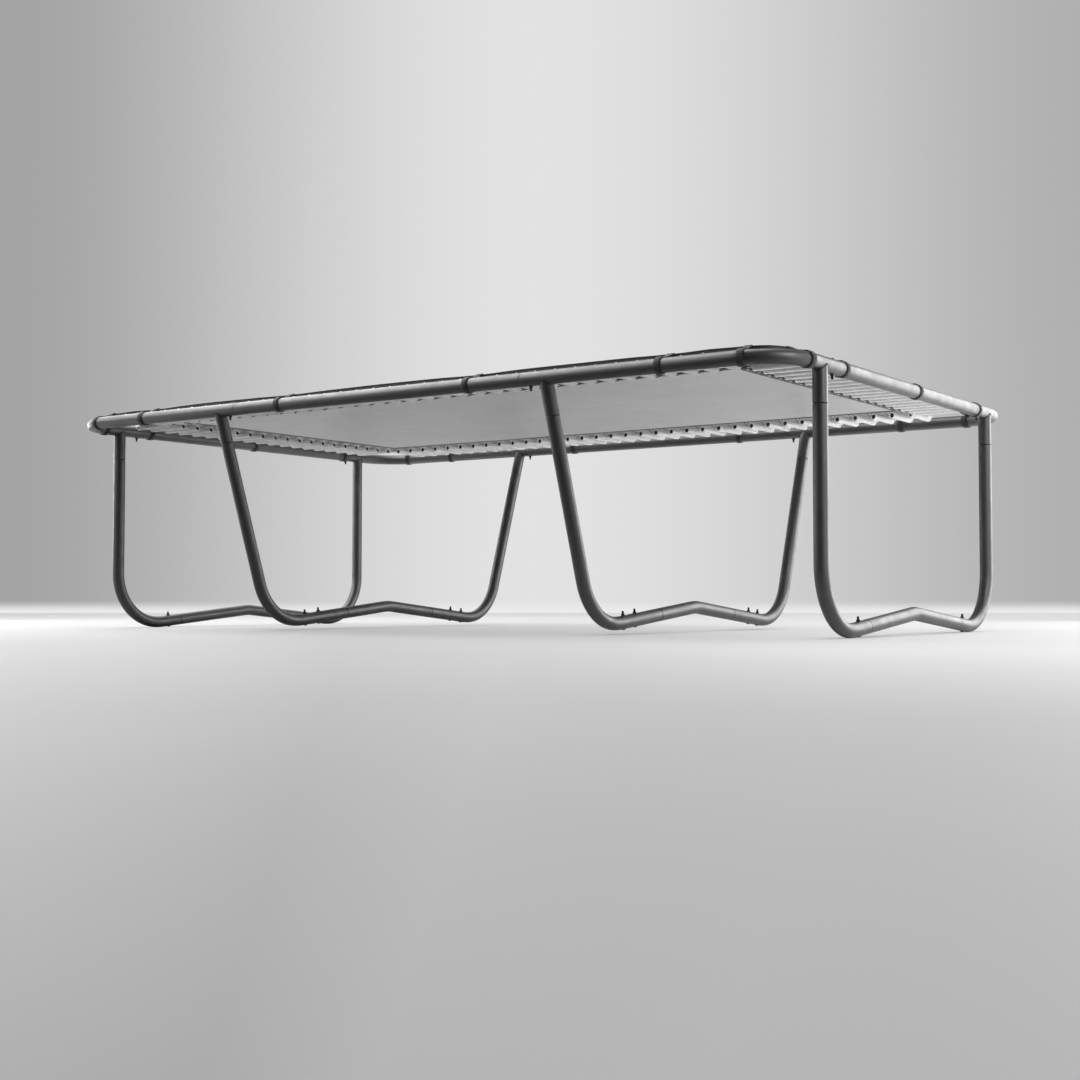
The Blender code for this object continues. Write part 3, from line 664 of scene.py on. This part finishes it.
def add_bolt(shape, frame):
    """Domed head, shank, washer, nut and a threaded tail."""
    seat = TUBE_RADIUS - 0.0008
    head = HEAD_DIAMETER / 2
    dome_height = TUBE_RADIUS + HEAD_HEIGHT - seat - HEAD_EDGE
    dome = [(head * math.cos(a), seat + HEAD_EDGE + dome_height * math.sin(a))
            for a in (1.52, 1.2, 0.9, 0.6, 0.3, 0.0)]
    shank = BOLT_DIAMETER / 2
    revolved(shape, dome + [(head, seat), (shank, seat), (shank, 0.0)], 24, frame)
    washer = NUT_WIDTH * 0.62
    low = -seat - WASHER_THICKNESS
    revolved(shape, [(shank, -seat), (washer, -seat), (washer, low), (shank, low)], 24, frame)
    corner = NUT_WIDTH / 2 / math.cos(math.pi / 6)
    high = low - NUT_HEIGHT
    revolved(shape, [(shank, low), (corner * 0.93, low), (corner, low - NUT_CHAMFER),
                     (corner, high + NUT_CHAMFER), (corner * 0.93, high), (shank, high)],
             6, frame)
    thread = TAIL_DIAMETER / 2
    end = -TUBE_RADIUS - BOLT_TAIL
    start = high + 0.0005
    tail = [(thread * 0.86, -TUBE_RADIUS + 0.004)]
    for step in range(THREAD_STEPS + 1):
        tail.append((thread * (1.0 if step % 2 else 0.88),
                     start + (end - start) * step / THREAD_STEPS))
    tail += [(thread * 0.8, end - 0.0006), (thread * 0.45, end - 0.0010)]
    revolved(shape, tail, 16, frame)


def make_bolt(name, frame):
    shape = Shape()
    add_bolt(shape, frame)
    thing = shape.made(name + "_fitted", BOLT, 30)
    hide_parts(name)
    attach(thing, "frame")


# Top frame

def weld_bead(shape, kind, sx, sy, along):
    """Rippled bead where a stub meets the underside of the rail. Gives its points."""
    top = kind.place(sx, sy, kind.on_leg(0))
    down = (kind.place(sx, sy, kind.on_leg(1)) - top).normalized()
    across = down.cross(along)
    stub = TUBE_RADIUS * 0.985
    path = []
    radii = []
    steps = 96
    for step in range(steps):
        angle = 2 * math.pi * step / steps
        depth = math.sqrt(TUBE_RADIUS ** 2 - (stub * math.sin(angle)) ** 2)
        path.append(top + (along * math.cos(angle) + across * math.sin(angle)) * stub
                    + down * depth)
        radii.append(0.0030 + 0.0004 * math.sin(angle * 31))
    start = shape.count()
    round_bar(shape, path, radii, 8, closed=True)
    return range(start, shape.count())


def make_corner(name, sx, sy):
    centre = Vector((sx * (RAIL_X - CORNER_RADIUS), sy * (RAIL_Y - CORNER_RADIUS), RAIL_HEIGHT))
    path = [Vector((sx * (LONG_SEAM + RAIL_GAP / 2), sy * RAIL_Y, RAIL_HEIGHT))]
    path += arc(centre, sy * Y_AXIS, sx * X_AXIS, CORNER_RADIUS, 24)
    path.append(Vector((sx * RAIL_X, sy * (SHORT_SEAM + RAIL_GAP / 2), RAIL_HEIGHT)))
    shape = Shape()
    round_bar(shape, path, TUBE_RADIUS, TUBE_SIDES, end_round=LIP)
    beads = []
    for kind, along in ((END_SET, Y_AXIS), (MIDDLE_SET, X_AXIS)):
        stub = [kind.place(sx, sy, kind.on_leg(d)) for d in (0.006, 0.05, STUB_LENGTH)]
        round_bar(shape, stub, TUBE_RADIUS * 0.9999, TUBE_SIDES, end_round=LIP)
        beads.append(weld_bead(shape, kind, sx, sy, along))
    thing = shape.made(name + "_welded", STEEL)
    # The beads take the dark weld colour, which is painted shade for the joint
    thing.data.materials.append(WELD_SHADE)
    for face in thing.data.polygons:
        if any(face.vertices[0] in bead for bead in beads):
            face.material_index = 1
    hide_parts(name)
    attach(thing, "frame")


def make_frame():
    for corner, sx, sy in CORNERS:
        make_corner("corner_tube_" + corner, sx, sy)
        for what, kind in (("end", END_SET), ("middle", MIDDLE_SET)):
            node = what + "_leg_" + corner
            make_tube(node + "_bent", [kind.place(sx, sy, spot) for spot in kind.line()], node)
            for number, place in enumerate(kind.bolt_frames(sx, sy), 1):
                make_bolt(f"{what}_foot_bolt_{corner}_{number}", place)
        on_long = Vector((sx * LONG_BOLT, sy * RAIL_Y, RAIL_HEIGHT))
        on_short = Vector((sx * RAIL_X, sy * SHORT_BOLT, RAIL_HEIGHT))
        make_bolt(f"rail_bolt_{corner}_1", axes_frame(on_long, Z_AXIS, X_AXIS))
        make_bolt(f"rail_bolt_{corner}_2", axes_frame(on_short, Z_AXIS, Y_AXIS))
    for side, place, _, reach, _ in SIDES:
        seam = (LONG_SEAM if reach == RAIL_X else SHORT_SEAM) - RAIL_GAP / 2
        path = [place @ Vector((seam * share, 0, 0)) for share in (-1, -0.5, 0, 0.5, 1)]
        make_tube("rail_" + side + "_tube", path, "rail_" + side)
    for side, sx in (("left", -1), ("right", 1)):
        for what, kind in (("end", END_SET), ("middle", MIDDLE_SET)):
            node = f"{what}_spreader_{side}"
            make_spreader(node + "_bent", kind, sx, node)


# Springs and rings

COIL_TURNS = 50
COIL_STEPS = 10
DRAWN_IN = 0.42


def spring_places(count):
    return [(index - (count - 1) / 2) * SPRING_PITCH for index in range(count)]


def smooth_line(knots, steps):
    """A Catmull-Rom curve through the knots."""
    knots = [Vector(knot) for knot in knots]
    knots = [knots[0] * 2 - knots[1]] + knots + [knots[-1] * 2 - knots[-2]]
    line = []
    for a, b, c, d in zip(knots, knots[1:], knots[2:], knots[3:]):
        for step in range(steps):
            t = step / steps
            line.append(0.5 * (2 * b + (c - a) * t + (2 * a - 5 * b + 4 * c - d) * t * t
                               + (3 * b - a - 3 * c + d) * t * t * t))
    line.append(knots[-2])
    return line


def spring_path():
    """Middle of the wire: a hook into the rail, a close coil with a drawn-in outer end,
    and a hook round the tip of a ring. A spot is (across, inset, rise)."""
    wire = SPRING_WIRE / 2
    radius = COIL_DIAMETER / 2 - wire
    count = COIL_TURNS * COIL_STEPS
    coil = []
    for index in range(count + 1):
        share = index / count
        here = radius * (DRAWN_IN + (1 - DRAWN_IN) * min(1.0, share * COIL_TURNS / 2.0) ** 0.7)
        angle = 2 * math.pi * index / COIL_STEPS
        inset = COIL_START + 0.004 + (COIL_END - COIL_START - 0.008) * share
        coil.append(Vector((here * math.sin(angle), inset,
                            SPRING_RISE + here * math.cos(angle))))
    start = smooth_line([(0, 0.0150, 0.0160), (0, 0.0185, 0.0260), (0, 0.0215, 0.0325),
                         (0, 0.0285, 0.0358), (0, 0.0370, 0.0342), (0, 0.0470, 0.0290),
                         (0, 0.0560, 0.0258), coil[0]], 3)[:-1]
    tip = Vector((0, RING_INSET, RING_RISE))
    bend = 2 * wire + 0.0008
    end = [coil[-1], (radius * 0.55, COIL_END - 0.0005, SPRING_RISE + radius * 0.82),
           (radius * 0.30, COIL_END + 0.0035, SPRING_RISE + radius * 0.45),
           (0, COIL_END + 0.0095, SPRING_RISE + 0.0015)]
    for degrees in (70, 25, -20, -65, -110, -150):
        angle = math.radians(degrees)
        end.append(tip + Vector((0, math.cos(angle), math.sin(angle))) * bend)
    return start + coil + smooth_line(end, 3)[1:]


def make_springs():
    single = Shape()
    round_bar(single, spring_path(), SPRING_WIRE / 2, 5)
    wire_points = single.count()
    # A dark core in each coil is painted shade for the coil's shaded hollow; it also blocks
    # light between the turns
    inside = [(0, inset, SPRING_RISE) for inset in (COIL_START + 0.015, COIL_END - 0.007)]
    round_bar(single, inside, COIL_DIAMETER / 2 - SPRING_WIRE * 0.9, 10)
    points = np.concatenate(single.points)
    for side, place, springs, _, _ in SIDES:
        shape = Shape()
        matrix = np.array(place)
        for index, shift in enumerate(spring_places(springs)):
            moved = points + np.array((shift, 0, 0))
            shape.points.append(moved @ matrix[:3, :3].T + matrix[:3, 3])
            start = index * len(points)
            shape.faces += [[start + corner for corner in face] for face in single.faces]
        thing = shape.made("springs_" + side, ZINC, 80)
        # The core's faces take the painted coil shade
        thing.data.materials.append(PAINTED_COIL_SHADE)
        for face in thing.data.polygons:
            if face.vertices[0] % len(points) >= wire_points:
                face.material_index = 1
        start = place @ Vector((0, COIL_START - 0.02, 0))
        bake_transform(thing)


def make_rings():
    base = MAT_INSET + RING_SEWN
    half_tip, half_base = RING_TIP_WIDTH / 2, RING_BASE_WIDTH / 2
    corners = [(-half_tip * 0.2, base, MAT_RISE), (-half_base, base, MAT_RISE),
               (-half_tip, RING_INSET, RING_RISE), (half_tip, RING_INSET, RING_RISE),
               (half_base, base, MAT_RISE), (half_tip * 0.2, base, MAT_RISE)]
    path = rounded(corners, 0.007, 4)
    shape = Shape()
    for _, place, springs, _, _ in SIDES:
        for shift in spring_places(springs):
            moved = place @ Matrix.Translation((shift, 0, 0))
            round_bar(shape, [moved @ point for point in path], RING_WIRE / 2, 8)
    thing = shape.made("wire_rings", BOLT, 80)
    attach(thing, "mat")
    return thing


# Mat and webbing

MAT_THICKNESS = 0.0013
MAT_SAG = 0.004
MAT_TUCK = 0.010
WEBBING_STEP = 0.0124


def make_mat():
    """Stretched woven sheet with a slight sag, held in the fold of the webbing."""
    inset = MAT_INSET + MAT_TUCK
    half_x, half_y = RAIL_X - inset, RAIL_Y - inset
    count_x, count_y = 120, 64
    points = []
    for side in (1, -1):
        for row in range(count_y + 1):
            for column in range(count_x + 1):
                u, v = 2 * column / count_x - 1, 2 * row / count_y - 1
                sag = MAT_SAG * (1 - u ** 4) * (1 - v ** 4)
                ripple = 0.0006 * noise.noise(Vector((u * 5, v * 5, 0.3)))
                ripple *= (1 - u ** 8) * (1 - v ** 8)
                height = RAIL_HEIGHT + MAT_RISE - sag + ripple + side * MAT_THICKNESS / 2
                points.append((u * half_x, v * half_y, height))
    faces, _ = two_layers(count_y + 1, count_x + 1, along_first=False)
    shape = Shape()
    shape.add(points, faces)
    thing = shape.made("jumping_mat_cloth", MAT_CLOTH, 60)
    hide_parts("jumping_mat")
    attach(thing, "mat")
    return thing, (2 * half_x, 2 * half_y)


def make_webbing():
    """Webbing folded over the mat's edge, thicker over the base of each ring."""
    section = [(share, -1) for share in (1.0, 0.92, 0.75, 0.55, 0.38, 0.22, 0.10, 0.03, 0.0)]
    section += [(share, 1) for share, _ in reversed(section[:-1])]
    rings = []
    uvs = []
    for side in (0, 3, 1, 2):
        _, place, count, reach, _ = SIDES[side]
        far = reach - MAT_INSET
        steps = int(round(2 * far / WEBBING_STEP))
        for step in range(steps):
            along = -far + 2 * far * step / steps
            nearest = min(abs(along - spot) for spot in spring_places(count))
            bulge = math.exp(-(nearest / 0.022) ** 2)
            run = len(rings) * WEBBING_STEP
            ring = []
            for share, face in section:
                inset = MAT_INSET + WEBBING_WIDTH * share
                mitred = abs(along) >= far - 0.05
                slide = along * (reach - inset) / far if mitred else along
                plump = math.exp(-((share - 0.19) / 0.16) ** 2)
                plump *= WEBBING_THICKNESS / 2 - 0.0019
                thick = 0.0017 + plump * (0.35 + 0.65 * bulge)
                if share < 0.10:
                    thick *= math.sqrt(share / 0.10)
                ring.append(place @ Vector((slide, inset, MAT_RISE + face * thick)))
                uvs.append((run, share))
            rings.append(ring)
    shape = Shape()
    shape.add_rings(rings, True, uvs)
    thing = shape.made("webbing_edge", EDGE_BAND, 60)
    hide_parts("mat_webbing")
    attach(thing, "mat")
    return thing


# Pads and straps

PAD_ROWS = 13
PAD_INNER_EDGE = 0.0085
PAD_CROWN = PAD_THICKNESS - 0.0175
MOST_SWELL = 0.014
SWELL_FRAMES = 20


def pad_lines(reach):
    """Pairs of (along, inset) spots on the outer and the inner edge of a pad section."""
    corner = reach - CORNER_RADIUS
    radius = CORNER_RADIUS - PAD_OUTER_INSET
    inner_end = reach - PAD_INNER_INSET
    outer = []
    corner_steps = 7
    for step in range(corner_steps):
        angle = math.pi / 4 * (1 - step / corner_steps)
        outer.append((corner + radius * math.sin(angle),
                      CORNER_RADIUS - radius * math.cos(angle)))
    spans = 2 * round(corner / 0.024)
    for step in range(spans + 1):
        outer.append((corner * (1 - 2 * step / spans), PAD_OUTER_INSET))
    outer += [(-along, inset) for along, inset in reversed(outer[:corner_steps])]
    widest = outer[0][0]
    shift = PAD_MITRE_GAP / math.sqrt(2)
    pairs = []
    for along, inset in outer:
        share = along / widest
        pairs.append(((along - shift * share, inset),
                      ((inner_end - shift) * share, PAD_INNER_INSET)))
    return pairs


def edge_base(along, reach):
    """Height of the pad's outer edge at a strap: less along the short sides."""
    if reach == RAIL_X:
        return 0.0150
    past = min(max((abs(along) - 0.80) / 0.28, 0.0), 1.0)
    return 0.0070 + 0.0080 * past * past * (3 - 2 * past)


def edge_rise(along, places, reach):
    """Height of the pad's outer edge: drawn down at each strap, raised between them."""
    near = min(abs(along - place) for place in places)
    wave = 0.0050 * (1 - math.exp(-(near / 0.16) ** 2))
    crease = 0.0022 * noise.noise(Vector((along * 2.6, reach, 0.7)))
    return edge_base(along, reach) + wave + crease


def swell(thing, held):
    """Fills the cover with air in a short cloth simulation and keeps it between heights."""
    low = RAIL_HEIGHT + PAD_RISE + 0.0005
    high = RAIL_HEIGHT + PAD_RISE + PAD_THICKNESS + 0.002
    group = thing.vertex_groups.new(name="held")
    for index, weight in held:
        group.add([index], weight, "REPLACE")
    start = [vertex.co.copy() for vertex in thing.data.vertices]
    modifier = thing.modifiers.new("cloth", "CLOTH")
    cloth = modifier.settings
    cloth.quality = 4
    cloth.mass = 0.35
    cloth.tension_stiffness = 12
    cloth.compression_stiffness = 12
    cloth.shear_stiffness = 5
    cloth.bending_stiffness = 0.6
    cloth.use_pressure = True
    cloth.uniform_pressure_force = 3.2
    cloth.effector_weights.gravity = 0
    cloth.vertex_group_mass = "held"
    cloth.pin_stiffness = 3
    cloth.shrink_min = -0.035
    modifier.collision_settings.use_collision = False
    modifier.collision_settings.use_self_collision = False
    for step in range(1, SWELL_FRAMES + 1):
        bpy.context.scene.frame_set(step)
    graph = bpy.context.evaluated_depsgraph_get()
    result = thing.evaluated_get(graph).data
    moved = [vertex.co.copy() for vertex in result.vertices]
    thing.modifiers.remove(modifier)
    thing.vertex_groups.remove(group)
    bpy.context.scene.frame_set(1)
    for vertex, before, after in zip(thing.data.vertices, start, moved):
        step = after - before
        if step.length > MOST_SWELL:
            step *= MOST_SWELL / step.length
        spot = before + step
        spot.z = min(max(spot.z, low), high)
        vertex.co = spot
    thing.data.update()


def make_pad(side, place, reach, places):
    """Padded section: pinned flat underneath, its top swollen and lightly wrinkled."""
    pairs = pad_lines(reach)
    wide = PAD_ROWS + 1
    size = wide * len(pairs)
    above = []
    below = []
    uvs = []
    for outer, inner in pairs:
        edge = edge_rise(outer[0], places, reach)
        for row in range(wide):
            share = row / PAD_ROWS
            along = outer[0] + (inner[0] - outer[0]) * share
            inset = outer[1] + (inner[1] - outer[1]) * share
            crown = PAD_CROWN * math.sin(math.pi * share) ** 0.5
            rise = edge * (1 - share) + PAD_INNER_EDGE * share + crown
            above.append(place @ Vector((along, inset, PAD_RISE + rise)))
            below.append(place @ Vector((along, inset, PAD_RISE + 0.0006)))
            uvs.append((along, share))
    faces, rim = two_layers(len(pairs), wide, along_first=True)
    shape = Shape()
    shape.add(above + below, faces, uvs * 2)
    thing = shape.made("pad_" + side + "_cushion", COVER, 70)
    on_rim = set(rim)
    held = [(index, 0.85 if index in on_rim else 0.0) for index in range(size)]
    held += [(index, 1.0) for index in range(size, 2 * size)]
    corners = thing.data.vertices
    sewn = [(index, corners[index].co.copy()) for index in range(size) if index % wide < 2]
    swell(thing, held)
    for index, before in sewn:
        row = index % wide
        corners[index].co = before.lerp(corners[index].co, 0.5 * row)
        corners[index].co.z = min(corners[index].co.z, before.z + 0.001 + 0.003 * row)
    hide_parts("pad_" + side)
    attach(thing, "frame")
    welt = Shape()
    top = [thing.data.vertices[index].co - Z_AXIS * 0.0015 for index in rim]
    round_bar(welt, top, 0.0026, 8, closed=True)
    trim = welt.made("pad_" + side + "_binding", BINDING, 80)
    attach(trim, "frame")


def strap_frames(place, reach, places):
    """Matrices of the straps of a side, each with its height of the pad's edge."""
    frames = []
    corner = reach - CORNER_RADIUS
    for spot in places:
        end = math.copysign(1, spot)
        past = max(0.0, abs(spot) - corner)
        centre = Matrix.Translation((spot - end * past, CORNER_RADIUS, 0))
        turn = Matrix.Rotation(end * math.asin(past / CORNER_RADIUS), 4, "Z")
        frame = place @ centre @ turn @ Matrix.Translation((0, -CORNER_RADIUS, 0))
        frames.append((frame, PAD_RISE + edge_base(spot, reach)))
    return frames


def add_strap(shape, frame, edge, seed):
    """One band: from the top of the pad's edge, over the rail, round it and back under."""
    hold = TUBE_RADIUS + STRAP_THICKNESS / 2 + 0.0010
    lean = 0.0016 * math.sin(seed * 2.1)
    path = [Vector((0, PAD_OUTER_INSET + 0.014, edge + 0.0030)),
            Vector((0, PAD_OUTER_INSET + 0.004, edge + 0.0036)),
            Vector((lean, PAD_OUTER_INSET - 0.005, edge + 0.0014)),
            Vector((lean, PAD_OUTER_INSET - 0.012, edge - 0.0036)),
            Vector((lean, 0.048, 0.0430)), Vector((lean, 0.034, 0.0392)),
            Vector((lean, 0.020, 0.0370))]
    turns = 30
    for step in range(turns + 1):
        angle = math.radians(-14 + 11 * step)
        reach = hold + 0.0032 * max(0.0, 1 - step / 4)
        shift = lean + 0.004 * math.sin(seed) * step / turns
        path.append(Vector((shift, -reach * math.sin(angle), reach * math.cos(angle))))
    half = STRAP_WIDTH / 2
    flank = half - 0.0012
    section = [(-half, 0.35), (-flank, 1.0), (0.0, 1.12), (flank, 1.0), (half, 0.35),
               (half, -0.35), (flank, -1.0), (0.0, -0.9), (-flank, -1.0), (-half, -0.35)]
    rings = []
    uvs = []
    run = 0.0
    before = path[0]
    for point, way in zip(path, directions([tuple(point) for point in path])):
        lift = X_AXIS.cross(Vector(way)).normalized()
        run += (point - before).length
        before = point
        rings.append([frame @ (point + X_AXIS * side + lift * (height * STRAP_THICKNESS / 2))
                      for side, height in section])
        uvs += [(run, side / STRAP_WIDTH + 0.5) for side, _ in section]
    shape.add_rings(rings, uvs=uvs)


def make_straps():
    seed = 0
    for side, place, _, reach, places in SIDES:
        shape = Shape()
        for strap, edge in strap_frames(place, reach, places):
            seed += 1
            add_strap(shape, strap, edge, seed)
        thing = shape.made("pad_straps_" + side, STRAP_BAND, 50)
        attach(thing, "frame")


# Studio. The camera sees floor and backdrop at the photo's levels, and other rays see
# them as dim as light and reflections on the trampoline need.

FLOOR_REACH = 30.0
WALL_DISTANCE = 9.0
WALL_REACH = 26
WALL_HEIGHT = 16
HAZE = (*grey(0.86), 1.0)


def make_floor():
    shape = Shape()
    shape.add([(x * FLOOR_REACH, y * FLOOR_REACH, 0)
               for x, y in ((-1, -1), (1, -1), (1, 1), (-1, 1))], [(0, 1, 2, 3)])
    paper = Finish("Floor_Finish", grey(0.74), 0.70)
    rays = paper.rays()
    shown = rays["Is Camera Ray"]
    x, y, _ = paper.axes()

    # Paleness to other rays: more under the mat and behind it, less in front
    under = paper.math("MULTIPLY", paper.level(x, -2.4, 0.8, 0.42, 0.92),
                       paper.level(y, -2.0, -0.5, 0.12, 1.0))
    left = paper.level(x, -2.4, -0.8, 0.25, 0.0)
    behind = paper.math("MULTIPLY", paper.level(y, 0.2, 1.0, 0.0, 0.95),
                        paper.level(y, 2.6, 3.6, 1.0, 0.0))
    bounce = paper.math("MAXIMUM", paper.math("MAXIMUM", under, left), behind)
    bounce = paper.node("ShaderNodeCombineColor", {0: bounce, 1: bounce, 2: bounce}).outputs[0]
    pale = paper.mottle(1.5, 4.0, grey(0.21), grey(0.22))
    paper.set("Base Color", paper.mix(shown, bounce, pale))

    # Glow to the camera: brighter far away, a painted pool of light on the right, and painted
    # shade round the feet
    away = paper.node("ShaderNodeVectorMath", {0: paper.place, 1: (*CAMERA_PLACE[:2], 0.0)},
                      operation="DISTANCE").outputs["Value"]
    shade = paper.glow(paper.level(away, 1.0, 13.0, 0.0, 1.0), (
        (0.0, 0.24), (0.11, 0.26), (0.39, 0.36), (0.66, 0.62), (1.0, 0.92)), "LINEAR")
    sideways = paper.math("DIVIDE", paper.dot(paper.place, VIEW_RIGHT), away)
    soft = paper.math("MULTIPLY", paper.level(sideways, -0.12, -0.01, 0.0, 0.115),
                      paper.level(away, 7.5, 11.0, 1.0, 0.0))
    pool = paper.math("MULTIPLY", paper.level(away, 2.0, 4.5, 0.25, 1.0),
                      paper.level(away, 6.5, 9.5, 1.0, 0.1))
    pool = paper.math("MULTIPLY", pool, paper.level(sideways, 0.0, 0.21, 0.0, 0.22))
    paper.set("Emission Color", paper.math("ADD", shade, paper.math("ADD", soft, pool)))
    open_air = paper.node("ShaderNodeAmbientOcclusion", {"Distance": 0.14},
                          samples=8).outputs["AO"]
    contact = paper.math("MULTIPLY", shown, paper.level(open_air, 0.35, 0.95, 0.30, 0.65))

    # A bright patch that shows only in the shine of the left corner
    left_front = paper.math("MULTIPLY", paper.level(x, -3.2, -2.3, 1.4, 0.0),
                            paper.level(y, -1.6, -1.0, 1.0, 0.0))
    left_front = paper.math("MULTIPLY", left_front, rays["Is Glossy Ray"])
    paper.set("Emission Strength", paper.math("ADD", contact, left_front))

    far = paper.math("MULTIPLY", shown, paper.level(away, 18.0, 27.0, 0.0, 1.0))
    haze = paper.node("ShaderNodeEmission", {"Color": HAZE})
    paper.surface(far, paper.shader, haze, "Material Output")
    thing = shape.made("studio_floor", paper.material)


def make_backdrop():
    foot = VIEW_AHEAD * WALL_DISTANCE - Z_AXIS * 0.01
    top = VIEW_AHEAD * WALL_DISTANCE + Z_AXIS * WALL_HEIGHT
    end = VIEW_RIGHT * WALL_REACH
    shape = Shape()
    shape.add([foot - end, foot + end, top + end, top - end], [(0, 1, 2, 3)])
    sheet = Finish("Backdrop_Finish", grey(0.6), 0.9)
    across = sheet.dot(sheet.place, VIEW_RIGHT)
    glow = sheet.glow(sheet.level(across, -14.0, 14.5, 0.0, 1.0), (
        (0.0, 0.86), (0.281, 0.37), (0.491, 0.76), (0.719, 0.43), (1.0, 0.86)), "EASE")
    near_floor = sheet.level(sheet.axes()[2], 0.0, 0.15, 1.0, 0.0,
                             interpolation_type="SMOOTHSTEP")
    glow = sheet.mix(near_floor, glow, grey(0.84))
    rays = sheet.rays()
    gain = sheet.math("MAXIMUM", sheet.level(across, 1.0, 6.3, 0.25, 1.0),
                      rays["Is Camera Ray"])
    shining = sheet.node("ShaderNodeEmission", {"Color": glow, "Strength": gain})
    shown = sheet.math("MAXIMUM", rays["Is Camera Ray"], rays["Is Glossy Ray"])
    shown = sheet.math("MAXIMUM", shown, rays["Is Transmission Ray"])
    sheet.surface(shown, sheet.shader, shining, "Material Output")
    thing = shape.made("studio_backdrop", sheet.material)


def area_light(name, place, target, size, power, only_shine=False):
    data = bpy.data.lights.new(name, "AREA")
    data.shape = "RECTANGLE"
    data.size, data.size_y = size
    data.energy = power
    thing = bpy.data.objects.new(name, data)
    thing.location = place
    way = Vector(target) - Vector(place)
    thing.rotation_euler = way.to_track_quat("-Z", "Y").to_euler()
    thing.visible_camera = False
    thing.visible_diffuse = not only_shine
    bpy.context.scene.collection.objects.link(thing)


def make_lights():
    """Lamps, and cards that show only in the shine of the coat."""
    area_light("back_right", (3.9, 3.7, 1.85), (1.9, -0.6, 0.75), (4.2, 3.5), 250)
    area_light("right_high", (6.2, -1.5, 3.6), (1.0, 0.6, 0.7), (3.0, 3.4), 170)
    area_light("right_side", (7.2, -1.0, 1.3), (2.0, -0.5, 0.8), (5.0, 2.2), 50)
    area_light("top_left", (-3.2, -1.5, 5.2), (-0.2, -1.24, 1.06), (6.5, 3.2), 330)
    area_light("back_left", (-4.0, 2.6, 3.0), (-0.3, -1.0, 1.0), (4.0, 3.0), 65)
    area_light("overhead", (0.3, 0.2, 6.5), (0.0, 0.0, 0.0), (4.0, 3.0), 130)
    area_light("left_strip", (-5.6, -0.3, 1.3), (-2.0, -1.0, 1.0), (1.0, 1.6), 60)
    for name, place, x, size, power in (
            ("left_card", (-6.3, 1.0, 4.6), -1.5, (2.8, 3.4), 100),
            ("front_left_card", (-5.8, -3.4, 4.0), -1.0, (6.5, 4.0), 240),
            ("front_card", (-2.9, -6.2, 4.6), 0.6, (4.0, 2.6), 105),
            ("middle_card", (-1.0, -2.0, 6.0), 1.4, (4.0, 1.6), 100)):
        area_light(name, place, (x, -1.24, 1.06), size, power, only_shine=True)


def make_world():
    """Soft light, most of it from behind the trampoline."""
    world = bpy.data.worlds.new("Studio")
    bpy.context.scene.world = world
    sky = Nodes(world)
    way = sky.node("ShaderNodeTexCoord", {}).outputs["Generated"]
    lit = sky.tree.nodes["Background"]
    sky.join((1, 1, 1, 1), lit.inputs["Color"])
    sky.join(sky.level(sky.dot(way, -VIEW_AHEAD), -0.75, 0.10, 0.58, 0.05),
             lit.inputs["Strength"])
    shown = sky.node("ShaderNodeBackground", {"Color": HAZE, "Strength": 1.0})
    sky.surface(sky.rays()["Is Camera Ray"], lit, shown, "World Output")


def make_camera():
    data = bpy.data.cameras.new("photo_view")
    data.sensor_width = 36.0
    data.lens = CAMERA_LENS
    data.clip_end = 200.0
    thing = bpy.data.objects.new("photo_view", data)
    thing.location = CAMERA_PLACE
    thing.rotation_euler = (math.pi / 2 + VIEW_PITCH, 0, VIEW_YAW)
    bpy.context.scene.collection.objects.link(thing)
    bpy.context.scene.camera = thing


make_frame()
make_springs()
rings = make_rings()
edge = make_webbing()
cloth, cut = make_mat()
for side, place, _, reach, places in SIDES:
    make_pad(side, place, reach, places)
make_straps()

make_floor()
make_backdrop()
make_lights()
make_world()
make_camera()
bpy.context.scene.view_settings.view_transform = "Standard"
